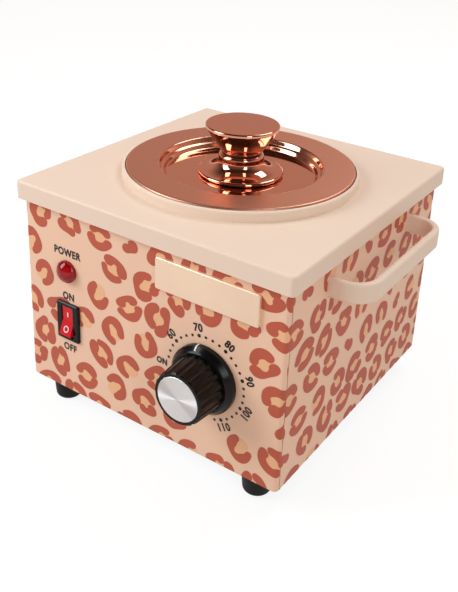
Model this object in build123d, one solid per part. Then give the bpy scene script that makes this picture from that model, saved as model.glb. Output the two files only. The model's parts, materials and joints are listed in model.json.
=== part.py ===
from build123d import *
import math
import os

# Square bench heater for melting candle wax. A folded sheet casing carries a pressed cover with a
# heated well; a spun pot with a copper lid lifts out of the well. A thermostat dial, a rocker switch
# and a pilot lamp sit on the front, a mains inlet on the back and a bar handle on each side.
#
# Lengths are in millimetres. +X is to the right as the front is seen, +Y to the back and +Z up.
# Pieces are drawn about the middle of the casing, with the floor at z = 0, and are then moved
# along Y so that the middle of the overall box lies over the origin.

os.makedirs("parts", exist_ok=True)

# ---- casing sheet
WALL_WIDTH = 231.0          # outside, left to right
WALL_DEPTH = 231.0          # outside, front to back
WALL_HEIGHT = 166.8         # bottom edge of the walls to the underside of the cover
SHEET = 1.2
CORNER_RADIUS = 3.0         # bend of the upright corners
SEAM_SETBACK = 4.0          # how far the front panel wraps round each front corner
SEAM_GAP = 0.2
JOGGLE_LENGTH = 12.0        # strip of the front panel that lies behind each side wall
TOP_FLANGE = 12.0
BOTTOM_FLANGE = 9.0
FLANGE_CLEARANCE = 0.5      # between the joggle strips and the side flanges

# ---- base plate
BASE_SHEET = 1.2
BASE_INSET = 1.0
VENT_LENGTH = 36.0
VENT_WIDTH = 4.0
VENT_PITCH = 12.0
VENTS_PER_BANK = 9
VENT_BANK_Y = (-72.0, -22.0)
BACK_VENT_LENGTH = 22.0
BACK_VENT_WIDTH = 3.2
BACK_VENT_PITCH = 9.0
BACK_VENTS = 11
BACK_VENT_DROP = 38.8       # middle of the back slots below the top of the walls

# ---- cover
COVER_OVERHANG = 4.5        # past the walls, each side
COVER_SKIRT = 14.0          # full height of the cover's edge
COVER_SHEET = 1.2
COVER_CORNER = 3.5
COVER_EDGE = 1.8            # rounding of the cover's upper edge
HEM_GAP = 0.5               # between the folded hem of the skirt and the walls

# ---- screws and nuts
M3_RADIUS = 1.5
M4_RADIUS = 2.0
THREAD_CLEARANCE = 0.05     # round a shank in its tapped hole or nut
HOLE_CLEARANCE = 0.2        # round a shank in a plain hole
M3_HEAD_RADIUS = 2.8
M3_HEAD_HEIGHT = 1.9
M4_HEAD_RADIUS = 3.6
M4_HEAD_HEIGHT = 2.4
M3_NUT_FLATS = 5.5
M3_NUT_HEIGHT = 2.4
M4_NUT_FLATS = 7.0
M4_NUT_HEIGHT = 3.2
RECESS_WIDTH = 0.8
RECESS_DEPTH = 0.9
RECESS_RIM = 0.9            # metal left between the cross recess and the edge of a head
WASHER_THICKNESS = 0.8
WASHER_BORDER = 1.6         # how far a washer reaches past a screw's head

STUD_LENGTH = 9.0
STUD_SPREAD_X = 70.0        # half the distance between the studs along the front and the back
STUD_SPREAD_Y = 60.0        # half the distance between the studs along each side
BASE_SCREW_LENGTH = 8.0
BASE_SCREW_SPREAD_X = 55.0
BASE_SCREW_SPREAD_Y = 45.0

# ---- feet
FOOT_HEIGHT = 18.0
FOOT_TOP_RADIUS = 11.8
FOOT_BOTTOM_RADIUS = 10.2
FOOT_ROUNDING = 3.8
FOOT_INSET_X = 24.0         # foot's axis to the outside of the walls
FOOT_INSET_Y = 15.0
FOOT_RECESS_RADIUS = 5.4
FOOT_RECESS_DEPTH = 7.0

# ---- handles
HANDLE_REACH = 30.0         # out from the wall
HANDLE_HALF_LENGTH = 67.0
HANDLE_BAR = 5.5            # thickness of the bar
HANDLE_DEPTH = 15.0         # height of the bar
HANDLE_BEND = 20.0          # outside radius of the bends
HANDLE_EDGE = 2.0           # rounding of the bar's long edges
HANDLE_DROP = 9.5           # top of the bar below the cover's skirt
HANDLE_SCREW_LENGTH = 12.0

# ---- collar, well and pot
COLLAR_WIDTH = 10.4         # across the ring, from the inside of the well
COLLAR_HEIGHT = 7.5
COLLAR_ROUNDING = 1.6
COLLAR_LIP = 2.3            # wall of the collar outside the lid
REBATE_DEPTH = 3.0
COLLAR_SCREWS = 6
COLLAR_SCREW_DEPTH = 3.5    # thread in the collar
WELL_RADIUS = 80.8          # inside
WELL_WALL = 1.2
WELL_LIP = 2.8              # flange of the well that lies on the cover
WELL_CORNER = 9.0
WELL_HOLE_CLEARANCE = 0.6   # between the well and the hole in the cover
POT_CLEARANCE = 0.6         # between the pot and the well
POT_WALL = 1.2
POT_RIM = 1.5
POT_DEPTH = 124.0
POT_CORNER = 8.0
POT_FLOOR_GAP = 1.0         # under the pot, which hangs by its rim
SEAT_GAP = 0.3              # between pieces that lift apart

# ---- lid
LID_EDGE_GAP = 0.9          # between the lid and the collar's lip
LID_SHEET = 1.0
LID_PROUD = 1.0             # lid's rim above the collar
LID_LIP = 1.9               # turned-down edge
LID_RIM_WIDTH = 24.8        # flat rim, from its edge to the recess
LID_RECESS_DEPTH = 8.0
LID_STEP_DEPTH = 3.6        # ledge half-way down the recess
LID_STEP_WIDTH = 1.9
LID_STEP_SLOPE = 1.7        # radius lost down each of the two slopes
LID_ROUNDING = 1.3
LID_KNOB_RISE = 31.7        # top of the knob above the lid's rim
DISH_RADIUS = 33.0
DISH_EDGE = 3.0
DISH_EDGE_LIFT = 2.5        # dish's edge above the floor of the recess
DISH_FOOT_RADIUS = 20.0
NECK_RADIUS = 17.0
NECK_HEIGHT = 17.0          # floor of the recess to the top of the neck
NECK_LAND = 3.5             # straight top part of the neck
GROOVE_RADIUS = 14.8
GROOVE_HEIGHT = 1.6
KNOB_TOP_RADIUS = 28.5
KNOB_BOTTOM_RADIUS = 16.0
KNOB_RIM = 2.6              # straight rim round the top of the knob
KNOB_ROUNDING = 1.2
LID_SCREW_THREAD = 12.0     # length of thread in the knob

# ---- heater
HEATER_FIT = 0.1
HEATER_THICKNESS = 3.5
HEATER_HEIGHT = 60.0
HEATER_ABOVE_WELL = 22.0    # lower edge of the band above the underside of the well
HEATER_GAP = 8.0
LUG_THICKNESS = 1.5
LUG_REACH = 11.0
LUG_HEIGHT = 50.0
LUG_BOLT_SPREAD = 16.0
POST_RADIUS = 4.0
POST_LENGTH = 9.0
POST_SPREAD = 18.0
POST_HEIGHT = 30.0          # posts above the lower edge of the band
INSULATION_FIT = 0.5
INSULATION_THICKNESS = 9.0
INSULATION_TOP_GAP = 12.0
INSULATION_BOTTOM_GAP = 5.0
INSULATION_OPENING = 62.0
CUTOFF_RADIUS = 8.0
CUTOFF_HEIGHT = 10.0
CUTOFF_X = -30.0
CUTOFF_Y = 30.0
BULB_RADIUS = 3.0
BULB_LENGTH = 70.0
BULB_Y = -20.0
BULB_END_X = 30.0
CLIP_SHEET = 0.8
CLIP_WIDTH = 8.0
CLIP_TAB = 9.0
CLIP_SPREAD = 22.0
CAPILLARY_RADIUS = 1.0
CAPILLARY_BEND = 8.0
CAPILLARY_HEIGHT = 24.0     # lowest run above the base plate
CAPILLARY_OFFSET = 10.0     # from the dial's axis, clear of the wiring

# ---- front controls; places are taken from a wall's edge and from the walls' bottom edge
DIAL_FROM_RIGHT = 61.5
DIAL_HEIGHT = 66.5
COLUMN_FROM_LEFT = 42.0
SWITCH_HEIGHT = 62.7
PILOT_HEIGHT = 105.6
NAMEPLATE_FROM_RIGHT = 62.5
NAMEPLATE_DROP = 7.8        # top of the plate below the cover's skirt
NAMEPLATE_SIZE = (84.0, 24.0, 2.5)
NAMEPLATE_CORNER = 1.6
NAMEPLATE_EDGE = 0.6

SHAFT_RADIUS = 3.0
SHAFT_FLAT = 2.2            # flat of the shaft from its axis
SHAFT_CLEARANCE = 0.05
BUSHING_RADIUS = 4.5
BUSHING_PROUD = 1.2
BUSHING_BORE_DEPTH = 12.0
YOKE_SIZE = (44.0, 20.0, 1.5)
YOKE_SCREW_SPREAD = 14.0
YOKE_SCREW_LENGTH = 6.0
THERMOSTAT_WIDTH = 36.0
THERMOSTAT_DEPTH = 17.0
BLADE_LENGTH = 8.0
BLADE_WIDTH = 6.3
BLADE_THICKNESS = 0.8

KNOB_GAP = 0.8
KNOB_LENGTH = 31.0          # front of the knob from the panel
SKIRT_RADIUS = 26.0
SKIRT_RIM = 3.4             # straight rim of the skirt
SKIRT_THICKNESS = 7.6
SKIRT_FACE_RADIUS = 23.4
GRIP_RADIUS = 21.0
GRIP_TIP_RADIUS = 19.5
GRIP_EDGE = 0.9
FLUTES = 18
FLUTE_RADIUS = 4.0
FLUTE_DEPTH = 1.0
HOLLOW_RADIUS = 22.4
HOLLOW_DEPTH = 4.2
HUB_RADIUS = 7.5
HUB_SETBACK = 2.0           # hub behind the skirt's rear edge
BORE_DEPTH = 14.0
INLAY_RADIUS = 16.4
INLAY_THICKNESS = 1.2
INLAY_PROUD = 0.2
INLAY_CLEARANCE = 0.1

BEZEL_WIDTH = 22.0
BEZEL_HEIGHT = 32.0
BEZEL_THICKNESS = 2.4
BEZEL_CORNER = 1.6
BEZEL_EDGE = 0.8
SWITCH_BODY_WIDTH = 19.2
SWITCH_BODY_HEIGHT = 29.0
SWITCH_BODY_DEPTH = 20.0
PANEL_FIT = 0.3             # round bodies that pass through the sheet
ROCKER_WIDTH = 11.0
ROCKER_HALF_HEIGHT = 12.0
ROCKER_TILT = 10.0          # degrees each side of the middle
ROCKER_VALLEY = 4.6         # front of the rocker from its pivot, in the middle
ROCKER_TIP = 6.8            # and at its two ends
ROCKER_BACK = 2.0
ROCKER_BACK_HALF = 10.5
ROCKER_EDGE = 0.6
ROCKER_GAP = 0.3
PIVOT_DEPTH = 3.0           # pivot behind the panel's face
TRUNNION_RADIUS = 1.5
TRUNNION_REACH = 1.8
TRUNNION_CLEARANCE = 0.05
SWITCH_BLADE_WIDTH = 4.8
SWITCH_BLADE_PITCH = 7.0

LENS_RADIUS = 8.75
LENS_RIM = 2.6
LENS_RISE = 7.6
LENS_WALL = 1.6
LAMP_RADIUS = 3.0
LAMP_TIP_GAP = 1.5
LAMP_CLEARANCE = 0.2
BARREL_RADIUS = 6.0
BARREL_LENGTH = 24.0
PILOT_NUT_FLATS = 16.0
PILOT_NUT_HEIGHT = 4.0
PILOT_BLADE_SPREAD = 3.0

# ---- mains inlet on the back
INLET_FROM_LEFT = 45.5      # as the front is seen
INLET_HEIGHT = 30.0
INLET_FLANGE = (50.0, 27.0, 3.0)
INLET_BODY = (27.4, 20.2)
INLET_CORNER = 1.0
INLET_DEPTH = 16.0
INLET_RECESS = (24.4, 16.8)
INLET_RECESS_FLOOR = 3.0
INLET_CHAMFER = 4.0
INLET_SCREW_SPREAD = 20.0
INLET_SCREW_LENGTH = 9.0
PIN_PITCH = 7.0
PIN_OFFSET = 2.0
PIN_WIDTH = 4.0
PIN_THICKNESS = 2.0
PIN_SETBACK = 1.5

# ---- inside, on the base plate
BLOCK_SIZE = (46.0, 20.0, 15.0)
BLOCK_FROM_BACK = 53.5
BLOCK_WAYS = 4
BLOCK_PITCH = 11.0
BLOCK_SCREW_DEPTH = 5.0
EARTH_FROM_LEFT = 19.5
EARTH_Y = 40.0
EARTH_STUD_LENGTH = 8.0
WIRE_RADIUS = 1.2
WIRE_BEND = 5.0
BEND_SHARE = 0.48           # widest bend as a share of the shorter run beside it
WIRE_LOW = 5.0              # heights of the runs above the base plate
WIRE_MIDDLE = 11.0
WIRE_HIGH = 21.0
LANE_START = 6.5            # first run from the ends of the terminals beside it
LANE_PITCH = 5.0            # from one run to the next behind it
LANE_SIDE = 10.5            # runs beside the switch, from its middle
LANE_WALL = 15.5            # run along the right wall, from its outside
LUG_TAB = 10.0              # earth lug from the stud's axis to the end of its tab
LUG_SHEET = 0.8

UP = (Align.CENTER, Align.CENTER, Align.MIN)

# ---- levels and faces that several pieces share
half_width = WALL_WIDTH / 2
half_depth = WALL_DEPTH / 2
inner_half_width = half_width - SHEET
inner_half_depth = half_depth - SHEET
wall_bottom = FOOT_HEIGHT + BASE_SHEET
wall_top = wall_bottom + WALL_HEIGHT
cover_top = wall_top + COVER_SHEET
cover_bottom = cover_top - COVER_SKIRT
seam_y = SEAM_SETBACK - half_depth
side_wall_start = seam_y + SEAM_GAP
side_flange_start = seam_y + JOGGLE_LENGTH + FLANGE_CLEARANCE
collar_top = cover_top + COLLAR_HEIGHT
rebate_floor = collar_top - REBATE_DEPTH
collar_radius = WELL_RADIUS + COLLAR_WIDTH
rebate_radius = collar_radius - COLLAR_LIP
well_outer = WELL_RADIUS + WELL_WALL
pot_outer = WELL_RADIUS - POT_CLEARANCE
pot_inner = pot_outer - POT_WALL
pot_rim_top = rebate_floor + SEAT_GAP + POT_RIM
pot_floor = pot_rim_top - POT_DEPTH
well_floor = pot_floor - POT_WALL - POT_FLOOR_GAP
well_bottom = well_floor - WELL_WALL
lid_top = collar_top + LID_PROUD
lid_radius = rebate_radius - LID_EDGE_GAP
lid_recess_radius = lid_radius - LID_RIM_WIDTH
recess_floor = lid_top - LID_RECESS_DEPTH
neck_top = recess_floor + NECK_HEIGHT
knob_bottom = neck_top + GROOVE_HEIGHT
knob_top = lid_top + LID_KNOB_RISE
heater_inner = well_outer + HEATER_FIT
heater_outer = heater_inner + HEATER_THICKNESS
heater_bottom = well_bottom + HEATER_ABOVE_WELL
insulation_inner = heater_outer + INSULATION_FIT
dial_x = half_width - DIAL_FROM_RIGHT
dial_z = wall_bottom + DIAL_HEIGHT
column_x = COLUMN_FROM_LEFT - half_width
switch_z = wall_bottom + SWITCH_HEIGHT
pilot_z = wall_bottom + PILOT_HEIGHT
nameplate_x = half_width - NAMEPLATE_FROM_RIGHT
nameplate_z = cover_bottom - NAMEPLATE_DROP - NAMEPLATE_SIZE[1] / 2
yoke_back = SHEET + YOKE_SIZE[2]
thermostat_back = yoke_back + THERMOSTAT_DEPTH
inlet_x = INLET_FROM_LEFT - half_width
inlet_z = wall_bottom + INLET_HEIGHT
foot_x = half_width - FOOT_INSET_X
foot_y = half_depth - FOOT_INSET_Y
handle_z = cover_bottom - HANDLE_DROP - HANDLE_DEPTH
handle_leg_y = HANDLE_HALF_LENGTH - HANDLE_BAR / 2
bulb_z = well_bottom - BULB_RADIUS - THREAD_CLEARANCE
capillary_z = wall_bottom + CAPILLARY_HEIGHT
block_y = half_depth - BLOCK_FROM_BACK
earth_x = EARTH_FROM_LEFT - half_width

front_reach = half_depth + KNOB_LENGTH + INLAY_PROUD
back_reach = half_depth + max(COVER_OVERHANG, INLET_FLANGE[2] + M3_HEAD_HEIGHT)
to_frame = Pos(0, (front_reach - back_reach) / 2, 0)


# ---- drawing helpers
def block(x0, x1, y0, y1, z0, z1):
    """Box between two opposite corners."""
    size = Box(x1 - x0, y1 - y0, z1 - z0, align=(Align.MIN, Align.MIN, Align.MIN))
    return Pos(x0, y0, z0) * size


def disc(radius, z0, z1, x=0.0, y=0.0):
    """Upright cylinder from z0 to z1."""
    return Pos(x, y, z0) * Cylinder(radius, z1 - z0, align=UP)


def slab(width, depth, corner, z0, z1):
    """Plate with rounded corners, centred on the Z axis."""
    return Pos(0, 0, z0) * extrude(RectangleRounded(width, depth, corner), z1 - z0)


def slot(length, width, z0, z1, x=0.0, y=0.0):
    """Cutter for a round-ended slot that runs along Y."""
    return Pos(x, y, z0) * extrude(SlotOverall(length, width, rotation=90), z1 - z0)


def turned(points):
    """Solid of revolution about Z; points are (radius, height)."""
    outline = Polyline(*[(radius, 0, height) for radius, height in points], close=True)
    return revolve(make_face(outline), Axis.Z)


def spun_sheet(points, radii, thickness):
    """Sheet of one thickness turned about Z; points run outwards along its upper face."""
    upper = FilletPolyline(*points, radius=radii)
    section = make_face(offset(upper, thickness, side=Side.RIGHT))
    return revolve(Plane.XZ * section, Axis.Z)


def group(solids):
    """Separate solids that share one node."""
    return Compound(list(solids))


def on_front(x, z):
    """Plane on the face of the front panel: X to the right, Y up, Z out to the front."""
    return Plane(origin=(x, -half_depth, z), x_dir=(1, 0, 0), z_dir=(0, -1, 0))


def on_back(x, z):
    """Plane on the face of the back wall: X to the left as the front is seen, Y up, Z out."""
    return Plane(origin=(x, half_depth, z), x_dir=(-1, 0, 0), z_dir=(0, 1, 0))


def facing_down(x, y, z):
    return Plane(origin=(x, y, z), x_dir=(1, 0, 0), z_dir=(0, 0, -1))


def facing_inwards(side, y, z):
    """Plane on the inside of a side wall, Z towards the middle; side is -1 or 1."""
    return Plane(origin=(side * inner_half_width, y, z), x_dir=(0, 1, 0), z_dir=(-side, 0, 0))


def screw(shank_radius, shank_length, head_radius, head_height):
    """Pan-head screw on the Z axis: head above z = 0, shank below it, cross recess on top."""
    head = disc(head_radius, 0, head_height)
    head = fillet(head.edges().group_by(Axis.Z)[-1], head_height - RECESS_DEPTH)
    arm = head_radius - RECESS_RIM
    half = RECESS_WIDTH / 2
    floor = head_height - RECESS_DEPTH
    head -= block(-arm, arm, -half, half, floor, head_height)
    head -= block(-half, half, -arm, arm, floor, head_height)
    return head + disc(shank_radius, -shank_length, 0)


def m3_screw(length):
    return screw(M3_RADIUS, length, M3_HEAD_RADIUS, M3_HEAD_HEIGHT)


def m4_screw(length):
    return screw(M4_RADIUS, length, M4_HEAD_RADIUS, M4_HEAD_HEIGHT)


def nut(flats, height, shank_radius):
    """Hexagon nut standing on z = 0."""
    hexagon = RegularPolygon(flats / 2, 6, major_radius=False)
    return extrude(hexagon, height) - disc(shank_radius + THREAD_CLEARANCE, 0, height)


def washer(shank_radius, head_radius):
    ring = disc(head_radius + WASHER_BORDER, 0, WASHER_THICKNESS)
    return ring - disc(shank_radius + HOLE_CLEARANCE, 0, WASHER_THICKNESS)


def plain_hole(shank_radius, z0, z1, x=0.0, y=0.0):
    return disc(shank_radius + HOLE_CLEARANCE, z0, z1, x, y)


def tapped_hole(shank_radius, z0, z1, x=0.0, y=0.0):
    return disc(shank_radius + THREAD_CLEARANCE, z0, z1, x, y)


def d_rod(radius, flat, z0, z1):
    """Rod with one flat, on the Z axis."""
    return disc(radius, z0, z1) - block(-radius, radius, flat, 2 * radius, z0, z1)


def blade(width, z0, z1, x=0.0, y=0.0):
    """Flat tab terminal, wide along X."""
    half = width / 2
    thick = BLADE_THICKNESS / 2
    return block(x - half, x + half, y - thick, y + thick, z0, z1)


# ---- places of repeated pieces
corners = [(sx, sy) for sx in (-1, 1) for sy in (-1, 1)]
foot_places = [(sx * foot_x, sy * foot_y) for sx, sy in corners]
stud_row_x = inner_half_width - TOP_FLANGE / 2
stud_row_y = inner_half_depth - TOP_FLANGE / 2
stud_places = [(sx * STUD_SPREAD_X, sy * stud_row_y) for sx, sy in corners]
stud_places += [(sx * stud_row_x, sy * STUD_SPREAD_Y) for sx, sy in corners]
base_row_x = inner_half_width - BOTTOM_FLANGE / 2
base_row_y = inner_half_depth - BOTTOM_FLANGE / 2
base_screw_places = [(sx * BASE_SCREW_SPREAD_X, sy * base_row_y) for sx, sy in corners]
base_screw_places += [(sx * base_row_x, sy * BASE_SCREW_SPREAD_Y) for sx, sy in corners]
collar_screw_radius = well_outer + WELL_LIP + M3_RADIUS + HOLE_CLEARANCE * 2
collar_screw_places = [
    (collar_screw_radius * math.cos(turn), collar_screw_radius * math.sin(turn))
    for turn in (2 * math.pi * k / COLLAR_SCREWS for k in range(COLLAR_SCREWS))
]
block_way_x = [(k - (BLOCK_WAYS - 1) / 2) * BLOCK_PITCH for k in range(BLOCK_WAYS)]


# ---- casing
def wall_shell():
    """Closed ring of the four walls, with rounded upright corners."""
    outside = RectangleRounded(WALL_WIDTH, WALL_DEPTH, CORNER_RADIUS)
    inside = RectangleRounded(2 * inner_half_width, 2 * inner_half_depth, CORNER_RADIUS - SHEET)
    return Pos(0, 0, wall_bottom) * extrude(outside - inside, WALL_HEIGHT)


def folded_flange(width, z0):
    """Flange folded inwards all round, before it is cut to its own walls."""
    outside = RectangleRounded(2 * inner_half_width, 2 * inner_half_depth, CORNER_RADIUS - SHEET)
    inside = Rectangle(2 * (inner_half_width - width), 2 * (inner_half_depth - width))
    return Pos(0, 0, z0) * extrude(outside - inside, SHEET)


def flange_holes():
    """Stud holes at the top and screw holes at the bottom of the walls."""
    holes = [plain_hole(M4_RADIUS, wall_top - SHEET, wall_top, x, y) for x, y in stud_places]
    holes += [
        tapped_hole(M3_RADIUS, wall_bottom, wall_bottom + SHEET, x, y) for x, y in base_screw_places
    ]
    return holes


def front_panel():
    """Front sheet: wraps the corners, with a joggled strip behind each side wall."""
    panel = wall_shell() & block(-half_width, half_width, -half_depth, seam_y, wall_bottom, wall_top)
    strip_end = seam_y + JOGGLE_LENGTH
    for side in (-1, 1):
        inner, outer = sorted((side * (inner_half_width - SHEET), side * inner_half_width))
        panel += block(inner, outer, -inner_half_depth, strip_end, wall_bottom, wall_top)
    for width, z0 in ((BOTTOM_FLANGE, wall_bottom), (TOP_FLANGE, wall_top - SHEET)):
        reach = inner_half_width - SHEET
        y1 = width - inner_half_depth
        panel += block(-reach, reach, -inner_half_depth, y1, z0, z0 + SHEET)
    for hole in flange_holes():
        panel -= hole
    dial = disc(BUSHING_RADIUS + HOLE_CLEARANCE, -SHEET, 0)
    for side in (-1, 1):
        dial += plain_hole(M4_RADIUS, -SHEET, 0, side * YOKE_SCREW_SPREAD)
    cutout_width = SWITCH_BODY_WIDTH + 2 * PANEL_FIT
    cutout_height = SWITCH_BODY_HEIGHT + 2 * PANEL_FIT
    panel -= on_front(dial_x, dial_z) * dial
    panel -= on_front(column_x, switch_z) * slab(cutout_width, cutout_height, PANEL_FIT, -SHEET, 0)
    panel -= on_front(column_x, pilot_z) * disc(BARREL_RADIUS + PANEL_FIT, -SHEET, 0)
    return panel


def wrap_casing():
    """Left, back and right walls, folded from one sheet."""
    casing = wall_shell()
    flanges = folded_flange(BOTTOM_FLANGE, wall_bottom)
    flanges += folded_flange(TOP_FLANGE, wall_top - SHEET)
    full = (-half_width, half_width)
    casing &= block(*full, side_wall_start, half_depth, wall_bottom, wall_top)
    flanges &= block(*full, side_flange_start, half_depth, wall_bottom, wall_top)
    casing += flanges
    for hole in flange_holes():
        casing -= hole
    for side in (-1, 1):
        for y in (-handle_leg_y, handle_leg_y):
            place = facing_inwards(side, y, handle_z + HANDLE_DEPTH / 2)
            casing -= place * plain_hole(M3_RADIUS, -SHEET, 0)
    inlet = slab(INLET_BODY[0] + 2 * PANEL_FIT, INLET_BODY[1] + 2 * PANEL_FIT, INLET_CORNER, -SHEET, 0)
    for side in (-1, 1):
        inlet += plain_hole(M3_RADIUS, -SHEET, 0, side * INLET_SCREW_SPREAD)
    casing -= on_back(inlet_x, inlet_z) * inlet
    for k in range(BACK_VENTS):
        x = (k - (BACK_VENTS - 1) / 2) * BACK_VENT_PITCH
        vent = slot(BACK_VENT_LENGTH, BACK_VENT_WIDTH, -SHEET, 0)
        casing -= on_back(x, wall_top - BACK_VENT_DROP) * vent
    return casing


def base_plate():
    """Flat bottom, screwed under the flanges of the walls, with two banks of vents."""
    inset = 2 * BASE_INSET
    plate = slab(WALL_WIDTH - inset, WALL_DEPTH - inset, CORNER_RADIUS, FOOT_HEIGHT, wall_bottom)
    for bank_y in VENT_BANK_Y:
        for k in range(VENTS_PER_BANK):
            x = (k - (VENTS_PER_BANK - 1) / 2) * VENT_PITCH
            plate -= slot(VENT_LENGTH, VENT_WIDTH, FOOT_HEIGHT, wall_bottom, x, bank_y)
    for x, y in foot_places:
        plate -= plain_hole(M4_RADIUS, FOOT_HEIGHT, wall_bottom, x, y)
    for x, y in base_screw_places:
        plate -= plain_hole(M3_RADIUS, FOOT_HEIGHT, wall_bottom, x, y)
    return plate


def top_cover():
    """Pressed cover with a hemmed skirt and a round hole for the well."""
    width = WALL_WIDTH + 2 * COVER_OVERHANG
    depth = WALL_DEPTH + 2 * COVER_OVERHANG
    cover = slab(width, depth, COVER_CORNER, cover_bottom, cover_top)
    cover = fillet(cover.edges().group_by(Axis.Z)[-1], COVER_EDGE)
    hem_top = cover_bottom + COVER_SHEET
    inside = 2 * COVER_SHEET
    corner = COVER_CORNER - COVER_SHEET
    cover -= slab(width - inside, depth - inside, corner, hem_top, wall_top)
    mouth = 2 * HEM_GAP
    cover -= slab(WALL_WIDTH + mouth, WALL_DEPTH + mouth, CORNER_RADIUS, cover_bottom, hem_top)
    cover -= disc(well_outer + WELL_HOLE_CLEARANCE, wall_top, cover_top)
    for x, y in collar_screw_places:
        cover -= plain_hole(M3_RADIUS, wall_top, cover_top, x, y)
    return cover


def cover_studs():
    """Studs welded under the cover that drop through the flanges of the walls."""
    return group(disc(M4_RADIUS, wall_top - STUD_LENGTH, wall_top, x, y) for x, y in stud_places)


def cover_nuts():
    low = wall_top - SHEET - M4_NUT_HEIGHT
    one = nut(M4_NUT_FLATS, M4_NUT_HEIGHT, M4_RADIUS)
    return group(Pos(x, y, low) * one for x, y in stud_places)


def base_screws():
    one = m3_screw(BASE_SCREW_LENGTH)
    return group(facing_down(x, y, FOOT_HEIGHT) * one for x, y in base_screw_places)


# ---- feet
def foot(x, y):
    """Tapered rubber foot with a rounded tread and a recess for its screw."""
    body = turned([
        (0, 0), (FOOT_BOTTOM_RADIUS, 0), (FOOT_TOP_RADIUS, FOOT_HEIGHT), (0, FOOT_HEIGHT)
    ])
    body = fillet(body.edges().group_by(Axis.Z)[0], FOOT_ROUNDING)
    body -= disc(FOOT_RECESS_RADIUS, 0, FOOT_RECESS_DEPTH)
    body -= plain_hole(M4_RADIUS, FOOT_RECESS_DEPTH, FOOT_HEIGHT)
    return Pos(x, y, 0) * body


def foot_washers():
    one = washer(M4_RADIUS, M4_HEAD_RADIUS)
    low = FOOT_RECESS_DEPTH - WASHER_THICKNESS
    return group(Pos(x, y, low) * one for x, y in foot_places)


def foot_screws():
    head_face = FOOT_RECESS_DEPTH - WASHER_THICKNESS
    length = wall_bottom + M4_NUT_HEIGHT + M3_RADIUS - head_face
    one = m4_screw(length)
    return group(facing_down(x, y, head_face) * one for x, y in foot_places)


def foot_nuts():
    one = nut(M4_NUT_FLATS, M4_NUT_HEIGHT, M4_RADIUS)
    return group(Pos(x, y, wall_bottom) * one for x, y in foot_places)


# ---- handles
def handle(side):
    """Bent flat bar; side is -1 for the left handle and 1 for the right one."""
    outline = RectangleRounded(2 * HANDLE_REACH, 2 * HANDLE_HALF_LENGTH, HANDLE_BEND)
    inside = RectangleRounded(
        2 * (HANDLE_REACH - HANDLE_BAR),
        2 * (HANDLE_HALF_LENGTH - HANDLE_BAR),
        HANDLE_BEND - HANDLE_BAR,
    )
    keep = Pos(HANDLE_REACH / 2, 0) * Rectangle(HANDLE_REACH, 2 * HANDLE_HALF_LENGTH)
    bar = extrude((outline - inside) & keep, HANDLE_DEPTH)
    rims = bar.edges().filter_by(lambda edge: edge.center().X > THREAD_CLEARANCE)
    rims = [edge for edge in rims if abs(edge.tangent_at(0.5).Z) < 0.5]
    bar = fillet(rims, HANDLE_EDGE)
    for y in (-handle_leg_y, handle_leg_y):
        leg = Plane(origin=(0, y, HANDLE_DEPTH / 2), x_dir=(0, 1, 0), z_dir=(1, 0, 0))
        bar -= leg * tapped_hole(M3_RADIUS, 0, HANDLE_SCREW_LENGTH)
    if side < 0:
        bar = mirror(bar, about=Plane.YZ)
    return Pos(side * half_width, 0, handle_z) * bar


def handle_places():
    """Planes on the inside of the side walls at the four legs of the handles."""
    z = handle_z + HANDLE_DEPTH / 2
    legs = (-handle_leg_y, handle_leg_y)
    return [facing_inwards(side, y, z) for side in (-1, 1) for y in legs]


def handle_washers():
    one = washer(M3_RADIUS, M3_HEAD_RADIUS)
    return group(place * one for place in handle_places())


def handle_screws():
    one = m3_screw(WASHER_THICKNESS + SHEET + HANDLE_SCREW_LENGTH - M3_RADIUS)
    return group(place * Pos(0, 0, WASHER_THICKNESS) * one for place in handle_places())


# ---- collar, well and pot
def collar_ring():
    """Moulded ring round the mouth: clamps the well's flange and carries the pot's rim."""
    pocket_top = cover_top + WELL_WALL
    pocket_radius = well_outer + WELL_LIP + HOLE_CLEARANCE
    ring = turned([
        (WELL_RADIUS, pocket_top),
        (pocket_radius, pocket_top),
        (pocket_radius, cover_top),
        (collar_radius, cover_top),
        (collar_radius, collar_top),
        (rebate_radius, collar_top),
        (rebate_radius, rebate_floor),
        (WELL_RADIUS, rebate_floor),
    ])
    rim = ring.edges().group_by(Axis.Z)[-1].sort_by(SortBy.LENGTH)[-1]
    ring = fillet(rim, COLLAR_ROUNDING)
    for x, y in collar_screw_places:
        ring -= tapped_hole(M3_RADIUS, cover_top, cover_top + COLLAR_SCREW_DEPTH, x, y)
    return ring


def collar_screws():
    one = m3_screw(COVER_SHEET + COLLAR_SCREW_DEPTH - HOLE_CLEARANCE)
    return group(facing_down(x, y, wall_top) * one for x, y in collar_screw_places)


def heating_well():
    """Spun cup that hangs in the cover by its flange."""
    flange_top = cover_top + WELL_WALL
    points = [
        (0, well_floor), (WELL_RADIUS, well_floor), (WELL_RADIUS, flange_top),
        (well_outer + WELL_LIP, flange_top),
    ]
    return spun_sheet(points, [WELL_CORNER - WELL_WALL, 0], WELL_WALL)


def wax_pot():
    """Lift-out pot with a flat rim, its rounded corner just inside that of the well."""
    cup = spun_sheet(
        [(0, pot_floor), (pot_inner, pot_floor), (pot_inner, pot_rim_top - POT_RIM)],
        [POT_CORNER - POT_WALL],
        POT_WALL,
    )
    rim = disc(lid_radius, pot_rim_top - POT_RIM, pot_rim_top)
    rim -= disc(pot_inner, pot_rim_top - POT_RIM, pot_rim_top)
    return cup + rim


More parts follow.
